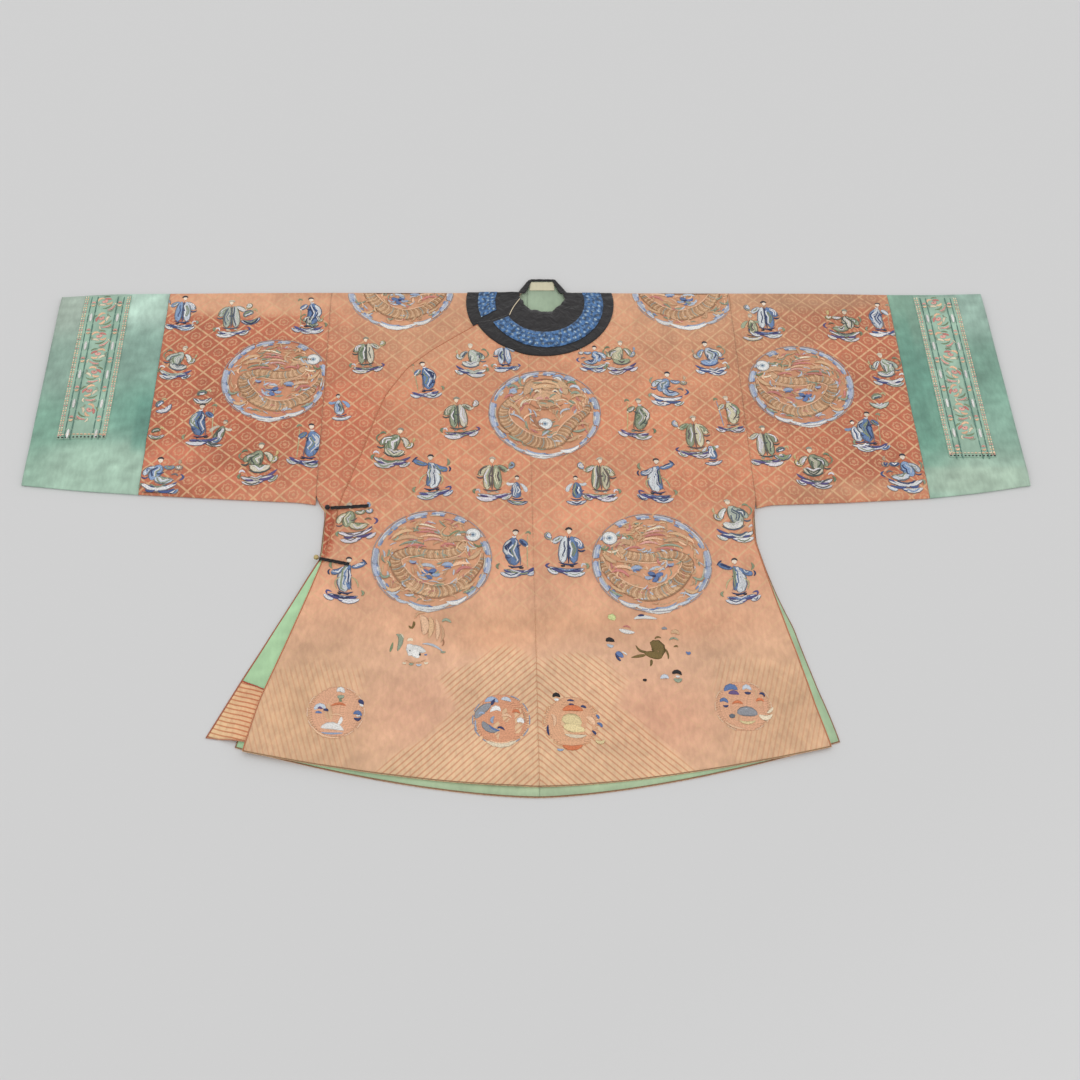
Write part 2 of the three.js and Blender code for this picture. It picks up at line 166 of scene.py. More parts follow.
# ---------------------------------------------------------------- sizes, in millimetres
MM = 0.001
CLOTH = 1.0
TRIM = 0.6
GAP = 0.3
BACK = CLOTH / 2
LINING = BACK + CLOTH + GAP
UNDER = LINING + CLOTH + GAP
OVER = UNDER + CLOTH + GAP + 0.7
FOLD = (UNDER - BACK) / 2
SHOULDER = 4.0
AIR = 1.3  # soft room under the upper cloth
FINE = 5.5  # grid pitch of the cloth that shows
COARSE = 16.0  # and of the cloth that is hidden
HEM_START, HEM_FRONT, HEM_BACK = -640.0, -978.0, -993.0
LIFT_FRONT, LIFT_BACK, HEM_HALF = 62.0, 83.0, 436.0
NECK = (28.0, -8.0, 40.0)

# The garment's zero in the row frame, from two edges of the left front
front_low, front_high = (np.array(corner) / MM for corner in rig.box("front_left"))
ZERO = np.array([front_low[0] - GAP / 2, front_high[1] - SHOULDER - CLOTH / 2, 0.0])

# Outer edges down the length: y, x
FRONT_LEFT_EDGE = [(10, 365), (-470, 365), (-484, 361), (-500, 357), (-546, 356), (-600, 366),
                   (-694, 384), (-780, 399), (-900, 416), (-978, 430)]
OVERLAP_EDGE = [(-58, -32), (-72, -85), (-135, -167), (-178, -210), (-236, -244), (-287, -261),
                (-356, -278), (-461, -310), (-573, -330), (-698, -367), (-780, -388), (-870, -410),
                (-978, -429)]
UNDER_EDGE = [(10, -350), (-462, -350), (-472, -338), (-484, -332), (-568, -334), (-580, -337)]
BACK_LEFT_EDGE = [(60, 365), (-470, 365), (-486, 361), (-546, 358), (-600, 368), (-642, 378),
                  (-719, 399), (-880, 423), (-993, 444)]
BACK_RIGHT_EDGE = [(60, -350), (-462, -350), (-480, -334), (-568, -337), (-640, -352), (-719, -381),
                   (-880, -416), (-993, -441)]
# Sleeves along the arm: x, top fold, lower edge
SLEEVE_RIGHT = [(-827, -8, -428), (-730, 0, -440), (-636, 1, -448), (-489, 3, -458), (-376, 4, -465),
                (-350, 4, -470)]
SLEEVE_LEFT = [(365, 4, -480), (386, 4, -473), (521, 4, -468), (653, 1, -460), (740, 1, -449),
               (826, 4, -434)]
SEAM_RIGHT, SEAM_LEFT = -350, 365
CUFF_RIGHT, CUFF_LEFT = -637, 653.5
# Under flap below its silk, across: share, top x, seam x and y, hem x and y
FLAP = [(0, -340, -443, -795, -487, -891), (0.12, -303, -403, -815, -431, -900),
        (0.5, -185, -222, -842, -232, -924), (1, -60, -60, -857, -60, -938)]
FLAP_TOP = -580.0
# Collar rings from the neck outwards: x, y, radius, start angle in degrees
FACING_OVER = [(28, -8, 40, 187), (29, -20, 74, 208), (32, -26, 104, 203.5), (27, -22, 128, 203.5)]
FACING_UNDER = [(28, -8, 41, 208), (27, -22, 84, 215), (27, -22, 115, 211), (27, -22, 136, 205)]
RIBBON_OVER = [(29, -20, 74, 212), (32, -26, 104, 207)]
RIBBON_UNDER = [(27, -22, 84, 193), (27, -22, 115, 199)]

# Creases: both ends (x, y), sideways bow, half width and height; a trough is negative
CREASES = [
    (-645, -331, -563, -357, 4, 13, 2.6), (-563, -357, -474, -384, 5, 12, 2.2),
    (-474, -384, -352, -446, -6, 13, 2.4), (-640, -352, -556, -378, 3, 10, -1.3),
    (-556, -378, -460, -404, 4, 10, -1.2), (-636, -398, -516, -424, 5, 11, 1.6),
    (-516, -424, -380, -452, 3, 10, 1.7), (-630, -430, -500, -440, 2, 9, 1.2),
    (-470, -330, -372, -400, 8, 12, 1.2), (-430, -300, -362, -372, 6, 11, -0.9),
    (-620, -110, -470, -118, 4, 14, 0.9), (-600, -36, -380, -34, 2, 12, 1.5),
    (-640, -60, -400, -58, 3, 9, -0.8), (-760, -330, -650, -345, 3, 14, 2.0),
    (-800, -380, -660, -352, 6, 12, 1.0), (-720, -430, -668, -350, 4, 12, 1.3),
    (-560, -200, -500, -300, 9, 14, -0.7), (-815, -60, -650, -66, 2, 14, 0.9),
    (258, -461, 352, -458, 2, 6, -2.4), (248, -447, 360, -440, 3, 9, 2.2),
    (262, -476, 350, -482, 2, 9, 1.9), (288, -424, 372, -433, 3, 8, -1.2),
    (445, -404, 651, -425, 6, 12, 1.9), (420, -440, 640, -452, 4, 10, 1.4),
    (575, -318, 668, -335, 4, 12, 1.8), (470, -300, 580, -312, -5, 12, 0.9),
    (375, -445, 480, -380, 8, 12, 1.3), (400, -460, 520, -430, 5, 9, -1.0),
    (660, -378, 812, -398, 4, 13, 1.7), (672, -60, 812, -54, 3, 13, 1.1), (380, -32, 640, -30, 2, 12, 1.4),
    (700, -430, 815, -412, -3, 11, 1.0), (-293, -431, -202, -456, 5, 8, -1.9),
    (-318, -446, -190, -476, 6, 10, 1.8), (-300, -408, -196, -430, 5, 10, 1.4),
    (-250, -330, -120, -372, 7, 14, 0.8), (224, -666, 322, -684, 5, 10, 1.9),
    (231, -744, 265, -754, 2, 7, -1.5), (110, -684, 224, -668, 6, 12, 1.5),
    (-261, -692, -133, -658, -7, 12, 1.9), (-129, -730, -50, -733, 3, 9, 1.6),
    (-235, -712, -150, -700, 4, 8, -1.1), (-330, -662, -262, -690, 3, 11, 1.3),
    (-60, -664, 60, -668, 5, 12, 1.2), (30, -740, 130, -724, -6, 12, 1.2),
    (280, -722, 352, -748, 4, 11, 1.2), (-220, -792, -138, -830, 8, 11, 1.8),
    (-180, -824, -84, -848, -6, 9, -1.2), (-160, -870, -112, -925, 6, 12, 1.7),
    (-112, -786, -206, -900, -8, 12, 1.2), (86, -800, 190, -836, 8, 12, 1.9),
    (126, -850, 214, -908, 7, 10, 1.6), (200, -786, 252, -880, 9, 11, 1.4),
    (150, -880, 190, -940, 4, 9, -1.2), (240, -770, 330, -800, 5, 10, 0.9),
    (-330, -790, -250, -778, 5, 12, 1.0), (-390, -850, -300, -905, 5, 12, 1.0),
    (320, -830, 400, -890, 6, 12, 1.1), (150, -120, 330, -108, 7, 16, 1.1),
    (170, -190, 260, -172, 5, 14, 0.8), (-210, -30, -130, -60, 4, 12, 0.9),
    (-330, -120, -235, -150, 6, 14, 0.9), (-320, -300, -280, -350, 4, 12, 0.9),
    (60, -520, 60, -620, 4, 16, 0.7), (0, -680, 0, -975, 0, 7, -0.3),
]
# Zones where the cloth is puckered: x, y, half width, half length, height
PUCKERS = [(-150, -840, 110, 90, 0.8), (175, -845, 110, 95, 0.9), (-200, -700, 170, 60, 0.45),
           (200, -700, 170, 60, 0.5), (-500, -410, 140, 50, 0.55), (520, -430, 150, 40, 0.45),
           (300, -470, 70, 40, 0.5), (-260, -450, 80, 40, 0.5)]


# ---------------------------------------------------------------- shapes worked out on arrays
def mix(a, b, t):
    """a where t is 0 and b where it is 1."""
    return a + (b - a) * t


def smooth(low, high, value):
    """0 up to low, 1 past high, and 3t^2 - 2t^3 between."""
    t = np.clip((value - low) / (high - low), 0, 1)
    return t * t * (3 - 2 * t)


def steps(start, end, pitch):
    """Evenly spaced values from start to end, no further apart than pitch."""
    return np.linspace(start, end, max(1, int(np.ceil(abs(end - start) / pitch))) + 1)


def read(table, key, column=1, soft=9.0):
    """A table's column at a key, straight between rows, with its corners eased over a reach."""
    rows = np.array(sorted(table), dtype=float)
    shares = np.linspace(-1, 1, 5)
    return sum(np.interp(key + share * soft, rows[:, 0], rows[:, column]) for share in shares) / 5


def crease_height(x, y):
    """Each crease is height * exp(-(away / width)^2) beside a bowed line, faded past both ends."""
    total = np.zeros(np.shape(x))
    for x0, y0, x1, y1, bow, width, height in CREASES:
        length = np.hypot(x1 - x0, y1 - y0)
        along = ((x - x0) * (x1 - x0) + (y - y0) * (y1 - y0)) / length**2
        aside = ((x - x0) * (y1 - y0) - (y - y0) * (x1 - x0)) / length
        aside = aside - bow * 4 * np.clip(along, 0, 1) * (1 - np.clip(along, 0, 1))
        past = np.maximum(np.abs(along - 0.5) - 0.42, 0) * length / (2.2 * width)
        total = total + height * np.exp(-((aside / width) ** 2) - past**2)
    return total


def ripple(x, y, wave, seed, count=7):
    """A sum of sine waves of about one wavelength in many directions, between about -1 and 1."""
    dice = np.random.default_rng(seed)
    total = np.zeros(np.shape(x))
    for angle, phase, stretch in zip(dice.uniform(0, np.pi, count), dice.uniform(0, 6.3, count),
                                     dice.uniform(0.7, 1.4, count)):
        total = total + np.sin((x * np.cos(angle) + y * np.sin(angle)) * 6.283 / (wave * stretch) + phase)
    return total / np.sqrt(count * 2)


def relief(x, y):
    """Height of the soft folds, puckers and slack of the laid silk, never below the layer under it."""
    height = crease_height(x, y) + 0.5 * ripple(x, y, 210, 3) + 0.22 * ripple(x, y, 62, 5)
    for cx, cy, across, down, tall in PUCKERS:
        inside = np.exp(-(((x - cx) / across) ** 2) - ((y - cy) / down) ** 2)
        height = height + inside * tall * ripple(x, y, 30, 11)
    return np.maximum(AIR + height, -0.2)


def front_level(x, y):
    """Mid-height of the outer front: the overlap lies one layer higher than the left front."""
    return mix(OVER, UNDER, smooth(-30, -6, x)) + relief(x, y) * smooth(0, 30, SHOULDER - y)


def hem_rise(x, row, hem, lift):
    """A hem curves up to its sides as |x|^1.6, and rows above it follow less and less."""
    return lift * smooth(HEM_START, hem, row) * (np.abs(x) / HEM_HALF) ** 1.6


def flap_level(x, y):
    """Mid-height of the under flap, which comes down to the floor past the edge of the back."""
    row = y
    for _ in range(8):
        row = y - hem_rise(x, row, HEM_BACK, LIFT_BACK)
    past = read(BACK_RIGHT_EDGE, row) - x
    resting = UNDER + relief(x, y) * smooth(0, 30, SHOULDER - y)
    return mix(resting, BACK, smooth(4, 26, past))


def sleeve_level(x, y, table):
    """Height of a sleeve's upper side, which flattens out to both of its folded edges."""
    top, bottom = read(table, x), read(table, x, 2)
    return UNDER + relief(x, y) * smooth(0, 30, top - y) * smooth(0, 20, y - bottom)


# ---------------------------------------------------------------- meshes
def linear(colour):
    """Red, green and blue of 0 to 255 as scene-linear values."""
    c = np.asarray(colour, dtype=float) / 255
    return np.where(c <= 0.04045, c / 12.92, ((c + 0.055) / 1.055) ** 2.4)


def piece(name, points, quads, materials, uv=None, layers=None, slot="silk", choice=None, node=None, rim=0):
    """A mesh object in the row frame from points in the garment's millimetres and quads, of which
    the last few, its rim, stay flat. It carries its UV map and point colours, and replaces a node."""
    mesh = bpy.data.meshes.new(name)
    mesh.vertices.add(len(points))
    mesh.vertices.foreach_set("co", ((points + ZERO) * MM).astype(np.float32).ravel())
    mesh.loops.add(quads.size)
    mesh.loops.foreach_set("vertex_index", quads.astype(np.int32).ravel())
    mesh.polygons.add(len(quads))
    mesh.polygons.foreach_set("loop_start", np.arange(0, quads.size, 4, dtype=np.int32))
    mesh.update(calc_edges=True)
    mesh.validate()
    mesh.polygons.foreach_set("use_smooth", np.arange(len(quads)) < len(quads) - rim)
    if uv is not None:
        corners = (uv * MM)[quads.ravel()].astype(np.float32)
        mesh.uv_layers.new(name="Flat").uv.foreach_set("vector", corners.ravel())
    for layer, values in (layers or {}).items():
        rgba = np.ones((len(points), 4), dtype=np.float32)
        rgba[:, :values.shape[1]] = values
        carried = mesh.color_attributes.new(name=layer, type="FLOAT_COLOR", domain="POINT")
        carried.data.foreach_set("color", rgba.ravel())
    for material in materials:
        mesh.materials.append(material)
    if choice is not None:
        mesh.polygons.foreach_set("material_index", choice.astype(np.int32))
    thing = bpy.data.objects.new(name, mesh)
    bpy.context.scene.collection.objects.link(thing)
    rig.ride(thing, "root")
    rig.slot(thing, slot)
    if node:
        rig.replaces(thing, node)
    return thing


def lattice_quads(rows, cols, around):
    """Quads between neighbouring points of a grid whose points are numbered row by row."""
    j, i = np.meshgrid(np.arange(rows - 1), np.arange(cols if around else cols - 1), indexing="ij")
    k = (i + 1) % cols
    here, after = j * cols, (j + 1) * cols
    return np.stack([here + i, here + k, after + k, after + i], -1).reshape(-1, 4)


SHEETS = {}


def cloth(name, grid, flat, materials, thickness=CLOTH, around=False, held="laid", rests_on=(), dye=None,
          slot="silk", sheet=True, node=None):
    """A closed wall on a grid of mid-surface points. Both faces lie half a thickness out along the
    normals, which are the cross product of the differences across and along the grid; quads close
    the rim. flat holds the same points laid out flat, for the UV map and the size of the cut."""
    rows, cols = grid.shape[:2]
    across = np.roll(grid, -1, 1) - np.roll(grid, 1, 1) if around else np.gradient(grid, axis=1)
    normal = np.cross(across, np.gradient(grid, axis=0))
    normal /= np.maximum(np.linalg.norm(normal, axis=2, keepdims=True), 1e-9)
    outward = normal[..., 2]
    if around:
        outward = outward * (grid - grid.mean(axis=1, keepdims=True))[..., 2]
    side = np.sign(outward.sum())
    normal *= side
    points = np.concatenate([(grid + normal * thickness / 2).reshape(-1, 3),
                             (grid - normal * thickness / 2).reshape(-1, 3)])
    far = rows * cols
    top = lattice_quads(rows, cols, around)
    i = np.arange(cols if around else cols - 1)
    k = (i + 1) % cols
    last = (rows - 1) * cols
    rim = [np.stack([k, i, far + i, far + k], -1),
           np.stack([last + i, last + k, far + last + k, far + last + i], -1)]
    if not around:
        j = np.arange(rows - 1) * cols
        rim += [np.stack([j, j + cols, far + j + cols, far + j], -1),
                np.stack([j + 2 * cols - 1, j + cols - 1, far + j + cols - 1, far + j + 2 * cols - 1], -1)]
    quads = np.concatenate([top, top[:, ::-1] + far] + rim)
    if side < 0:
        quads = quads[:, ::-1]
    layers = dye(points[:, 0], points[:, 1]) if dye else {}
    made = piece(name + "_cloth", points, quads, materials, np.tile(flat.reshape(-1, 2), (2, 1)), layers,
                 slot, node=node or name, rim=sum(len(part) for part in rim))
    if sheet:
        ring = np.concatenate([grid, grid[:, :1]], 1) if around else grid
        cells = np.cross(np.diff(ring, axis=1)[:-1], np.diff(ring, axis=0)[:, :-1])
        width, length = np.ptp(flat[..., 0]) * MM, np.ptp(flat[..., 1]) * MM
        area = min(np.linalg.norm(cells, axis=2).sum() * MM**2, 1.0009 * width * length)
        SHEETS[name] = {"obj": made, "flat": (width, length), "held": held, "rests_on": list(rests_on),
                        "area": area}
    return made


def fold_rows():
    """Height and place of the rows that bring a front round the shoulder fold, as a half circle."""
    turn = np.radians(np.arange(-90, 90, 15))
    return SHOULDER - FOLD + FOLD * np.cos(turn), BACK + FOLD + FOLD * np.sin(turn)


def beside_neck(side, below):
    """Inner edge of a front: round the neck opening, then straight down."""
    def inner(y):
        up = np.abs(y - NECK[1])
        round_neck = NECK[0] + side * (np.sqrt(np.maximum(NECK[2] ** 2 - up**2, 0)) + 1)
        return np.where(up < NECK[2], round_neck, below)
    return inner


def front_panel(name, edge, inner, level, top, hem, folded, pitch=FINE, **options):
    """Rows run across from the inner edge to the outer one, first round the fold, then to the hem."""
    rows = steps(top, hem, pitch)
    if top > -50:
        rows = np.sort(np.append(rows, [-45.5, -47.6, -49.0]))[::-1]
    share = steps(0, 1, pitch / np.abs(read(edge, rows) - inner(rows)).max())
    x = mix(inner(rows)[:, None], read(edge, rows)[:, None], share)
    y = rows[:, None] + hem_rise(x, rows[:, None], HEM_FRONT, LIFT_FRONT)
    grid = np.stack([x, y, level(x, y)], -1)
    flat = np.stack([x, y], -1)
    if folded:
        fold_y, fold_z = fold_rows()
        fold_x = np.broadcast_to(x[0], (len(fold_y), len(share)))
        curl = np.stack([fold_x, np.broadcast_to(fold_y[:, None], fold_x.shape),
                         np.broadcast_to(fold_z[:, None], fold_x.shape)], -1)
        spread = np.stack([fold_x, SHOULDER + np.linspace(3, 0.4, len(fold_y))[:, None] + 0 * fold_x], -1)
        grid, flat = np.concatenate([curl, grid]), np.concatenate([spread, flat])
    return cloth(name, grid, flat, **options)


def back_top(x):
    """The upper edge of the back, which rises into a tongue behind the neck."""
    rise = np.clip((x + 12) / 18, 0, 1) * np.clip((68 - x) / 18, 0, 1)
    return SHOULDER - FOLD - GAP + 34 * mix(rise, smooth(0, 1, rise), 0.4)


def back_panel(name, edge, side, level, inset, **options):
    """One half of the back or its lining, level from the seam to its outer edge."""
    rows = np.append([60.0], steps(-20, HEM_BACK + inset, COARSE))
    tongue = 67.0 if side > 0 else -11.0
    x0 = np.append(steps(0, tongue, 3), steps(tongue, edge[0][1], COARSE)[1:]) / edge[0][1]
    x = mix(side * GAP / 2, read(edge, rows)[:, None] - side * inset, x0)
    row = np.where(rows[:, None] > 0, back_top(x) - inset, rows[:, None])
    y = row + hem_rise(x, row, HEM_BACK, LIFT_BACK)
    grid = np.stack([x, y, np.full_like(x, level)], -1)
    return cloth(name, grid, grid[..., :2], rests_on=[] if level == BACK else [name.replace("_lining", "")],
                 **options)


def sleeve(name, table, start, end, **options):
    """A flattened tube: round each section run the underside, the top fold, the upper side and
    the lower fold, where a fold is half a circle."""
    xs = steps(start, end, FINE)
    top, bottom = read(table, xs)[:, None], read(table, xs, 2)[:, None]
    turn = np.radians(np.arange(-60, 90, 30))[None]
    under = mix(bottom + FOLD, top - FOLD, np.linspace(0, 1, 30)[None])
    over = mix(top - FOLD, bottom + FOLD, np.linspace(0, 1, int(460 / FINE))[None])
    lower_fold = bottom + FOLD - FOLD * np.cos(turn)
    y = np.concatenate([under, top - FOLD + FOLD * np.cos(turn), over, lower_fold], 1)
    x = np.broadcast_to(xs[:, None], y.shape)
    first, second, third = np.cumsum([under.shape[1], turn.shape[1], over.shape[1]])
    z = np.full(y.shape, BACK)
    z[:, first:second] = BACK + FOLD + FOLD * np.sin(turn)
    z[:, second:third] = sleeve_level(x, y, table)[:, second:third]
    z[:, third:] = BACK + FOLD - FOLD * np.sin(turn)
    grid = np.stack([x, y, z], -1)
    ahead = np.linalg.norm(np.diff(grid, axis=1), axis=2)
    round_it = np.concatenate([np.zeros((len(xs), 1)), np.cumsum(ahead, 1)], 1)
    flat = np.stack([x, round_it], -1)
    return cloth(name, grid, flat, around=True, **options)


def flap_grid(start, end, pitch):
    """The under flap below its silk: straight lines down from its top to the border seam (1) and
    on to the hem (2)."""
    share = np.concatenate([np.linspace(0, 0.3, 24), np.linspace(0.33, 1, 18)])
    top_x, seam_x, seam_y, hem_x, hem_y = (read(FLAP, share, c, 0.02) for c in range(1, 6))
    t = steps(start, end, pitch)[:, None]
    upper, lower = np.clip(t, 0, 1), np.clip(t - 1, 0, 1)
    x = top_x + (seam_x - top_x) * upper + (hem_x - seam_x) * lower
    y = FLAP_TOP - GAP + (seam_y - FLAP_TOP + GAP) * upper + (hem_y - seam_y) * lower
    return np.stack([x, y, flap_level(x, y)], -1)


# ---------------------------------------------------------------- dyes, as red, green and blue of 0 to 255
LENGTH_DYE = [(0, 214, 160, 126), (-120, 212, 148, 114), (-300, 213, 138, 104), (-450, 215, 145, 112),
              (-560, 218, 153, 120), (-680, 224, 171, 138), (-780, 226, 180, 148), (-980, 220, 178, 144)]
# Patches of other colour, of which some are painted shadow, shade and highlight: x, y, half width, half length, edge
# sharpness, colour, strength
TONES_AND_PAINTED_LIGHT = [
    (640, -230, 270, 320, 2, (184, 104, 76), 0.95), (-560, -230, 250, 330, 2, (185, 102, 74), 0.95),
    # (-300, -330) on the next line: painted shadow beside the overlap's edge, down to the right armpit.
    (-300, -330, 60, 140, 1, (193, 104, 76), 0.7), (420, -160, 120, 130, 1, (186, 130, 98), 0.8),
    (-500, -22, 170, 36, 4, (226, 168, 132), 0.95), (500, -14, 190, 30, 2, (186, 142, 110), 0.75),
    # (-590, -372) and (-520, -418) on the next line and (-400, -452) on the line after it: painted highlight on the
    # diagonal folds of the right sleeve.
    (-590, -372, 62, 26, 2, (217, 132, 102), 0.8), (-520, -418, 110, 16, 2, (211, 126, 96), 0.7),
    (-400, -452, 110, 15, 2, (206, 134, 104), 0.7), (540, -444, 140, 22, 2, (203, 145, 112), 0.8),
    # (280, -432) on the next line and (-250, -420) on the line after it: painted shade in the creases beside the
    # armpits.
    (-330, -528, 14, 56, 4, (180, 84, 58), 0.95), (280, -432, 110, 40, 1, (196, 117, 86), 0.6),
    (-250, -420, 80, 40, 1, (197, 122, 92), 0.5), (-350, -850, 120, 110, 1, (204, 162, 126), 0.8),
    (360, -840, 100, 120, 1, (203, 160, 126), 0.8), (-180, -850, 90, 80, 1, (226, 172, 142), 0.8),
    (180, -870, 100, 80, 1, (224, 166, 136), 0.8), (-200, -120, 90, 60, 1, (203, 148, 114), 0.6),
    (300, -60, 110, 70, 1, (210, 160, 124), 0.5), (0, -700, 200, 30, 1, (216, 160, 122), 0.5),
    (-60, -735, 70, 26, 1, (212, 150, 112), 0.35), (250, -700, 90, 30, 1, (214, 152, 118), 0.4),
]


# Dragon roundels: x, y, radius
ROUNDELS = [(25, -280, 90), (-161, -582, 90), (187, -588, 90), (283, 10, 90), (-226, 10, 90),
            (-435, -204, 86), (470, -218, 86)]


def silk_dye(x, y):
    """Ground colour by length with soft patches over it, some of them painted shadow, shade and highlight;
    how clearly the figured lattice shows; and the hem stripes, as a phase that grows by one from
    stripe to stripe and a mask."""
    rows = np.array(LENGTH_DYE[::-1], dtype=float)
    tint = np.stack([np.interp(y, rows[:, 0], rows[:, c]) for c in (1, 2, 3)], -1)
    # Some of these patches are painted light: shadow beside the overlap's edge, shade in the armpit creases and
    # highlight on the right sleeve's folds.
    for cx, cy, across, down, sharp, colour, strength in TONES_AND_PAINTED_LIGHT:
        away = ((x - cx) / across) ** 2 + ((y - cy) / down) ** 2
        tint = mix(tint, np.array(colour, dtype=float), (strength * np.exp(-(away**sharp)))[:, None])
    tint = tint * (1 + 0.035 * ripple(x, y, 150, 21) + 0.02 * ripple(x, y, 40, 22))[:, None]
    clear = 0.9 + 0.1 * smooth(330, 420, np.abs(x)) - 0.55 * smooth(-560, -720, y)
    clear = clear * (1 - 0.3 * smooth(-70, -10, y))
    for cx, cy, radius in ROUNDELS:
        inside = smooth(4, -4, np.hypot(x - cx, y - cy) - radius)
        tint = mix(tint, np.array([212.0, 156, 120]), (0.7 * inside)[:, None])
        clear = clear * (1 - 0.8 * inside)
    out = np.abs(x)
    slope = np.radians(44)
    middle = (out * np.sin(slope) + y * np.cos(slope)) / 7.8
    steep = np.radians(74)
    side = (out * np.sin(steep) - y * np.cos(steep)) / 7.4
    wander = 16 * ripple(x, y, 120, 31)
    in_middle = smooth(8, -8, y + 748 + 0.28 * out + wander)
    reach = np.interp(-y, [740, 790, 850, 930, 980], [90, 150, 118, 210, 250])
    in_middle = in_middle * smooth(10, -10, out - reach + 0.6 * wander)
    outer = smooth(-14, 14, out - 262 + 0.9 * wander + 0.1 * (y + 770))
    on_side = smooth(14, -14, y + 770 + wander) * outer
    phase = np.where(out < 240, middle, side)
    mask = np.maximum(in_middle, 0.42 * on_side)
    return {"Tint": linear(tint), "Pattern": np.stack([np.clip(clear, 0, 1), phase, mask], -1)}


def border_dye(x, y):
    """The under flap's border: even stripes that fall towards the wearer's left."""
    turn = np.radians(18)
    phase = (x * np.sin(turn) + y * np.cos(turn)) / 7.6
    tint = mix(np.array([232.0, 184, 140]), np.array([214.0, 122, 84]), (smooth(-478, -412, x))[:, None])
    return {"Tint": linear(tint), "Pattern": np.stack([0 * x, phase, 0 * x + 1.5], -1)}


def plain_dye(*rows, zones=(), uneven=0.03):
    """One cloth whose colour changes softly between places: x, y, colour. Zones have edges:
    x, y, half width, half length, colour."""
    def dye(x, y):
        total, weight = 0, 0
        for cx, cy, colour in rows:
            near = 1 / (((x - cx) ** 2 + (y - cy) ** 2) / 1e4 + 0.3) ** 2
            total = total + near[:, None] * np.array(colour, dtype=float)
            weight = weight + near[:, None]
        tint = total / weight
        for cx, cy, across, down, colour in zones:
            away = ((x - cx) / across) ** 8 + ((y - cy) / down) ** 8
            tint = mix(tint, np.array(colour, dtype=float), 0.75 * np.exp(-away)[:, None])
        streaks = 0.6 * ripple(0.4 * x, y, 16, 43)
        shade = 1 + uneven * (ripple(x, y, 90, 41) + 0.9 * ripple(x, y, 34, 42) + streaks)
        return {"Tint": linear(np.clip(tint * shade[:, None], 0, 255))}
    return dye


CUFF_DYE_RIGHT = plain_dye((-800, -30, (168, 184, 170)), (-660, -30, (178, 203, 189)),
                           (-800, -180, (140, 168, 153)),
                           (-660, -130, (136, 170, 155)), (-650, -290, (112, 160, 142)),
                           (-800, -310, (124, 166, 146)),
                           (-740, -410, (166, 192, 172)), (-650, -400, (172, 196, 178)),
                           (-820, -420, (148, 180, 160)),
                           zones=[(-670, -28, 38, 34, (178, 206, 190)),
                                  (-690, -398, 110, 52, (164, 194, 174)),
                                  (-640, -300, 22, 60, (104, 152, 136))], uneven=0.05)
CUFF_DYE_LEFT = plain_dye((670, -30, (128, 164, 144)), (800, -30, (150, 178, 164)),
                          (670, -200, (108, 156, 138)),
                          (800, -200, (122, 160, 142)), (680, -330, (112, 160, 140)),
                          (800, -330, (134, 170, 152)),
                          (740, -410, (168, 191, 172)), (810, -410, (160, 186, 168)),
                          zones=[(740, -424, 100, 26, (172, 194, 174)),
                                 (668, -200, 14, 150, (106, 152, 134))], uneven=0.05)
LINING_DYE = plain_dye((28, 0, (158, 176, 152)), (28, -30, (158, 178, 152)), (-400, -700, (172, 208, 164)),
                       (0, -980, (176, 196, 160)), (400, -800, (170, 196, 158)))
BAND_DYE = plain_dye((0, 0, (158, 188, 168)))

# ---------------------------------------------------------------- stitched motifs
SKIN, HAIR, ROBE, LINER, TRIMMING, FOAM, WATER, EDGE, PROP, LEAF = range(10)
# Dye sets for the figures, in the order of the roles above
DYE_SETS = [
    [(238, 220, 196), (206, 198, 178), (188, 196, 182), (222, 222, 214), (92, 104, 120), (226, 224, 224),
     (78, 84, 132), (128, 122, 104), (200, 186, 142), (132, 146, 118)],
    [(238, 220, 200), (56, 52, 58), (104, 130, 172), (214, 218, 220), (48, 60, 98), (222, 222, 226),
     (84, 82, 136), (104, 110, 128), (190, 178, 136), (140, 150, 120)],
    [(236, 216, 190), (150, 150, 136), (150, 158, 132), (212, 204, 184), (80, 88, 86), (224, 218, 222),
     (96, 84, 132), (112, 106, 88), (208, 188, 132), (120, 138, 110)],
    [(238, 222, 204), (50, 50, 62), (198, 206, 216), (140, 164, 198), (66, 80, 122), (232, 230, 230),
     (74, 92, 142), (120, 120, 124), (196, 170, 140), (148, 158, 134)],
    [(236, 216, 192), (198, 186, 166), (214, 206, 176), (160, 168, 140), (104, 92, 92), (220, 214, 220),
     (90, 78, 126), (132, 118, 92), (150, 166, 190), (126, 142, 112)],
]
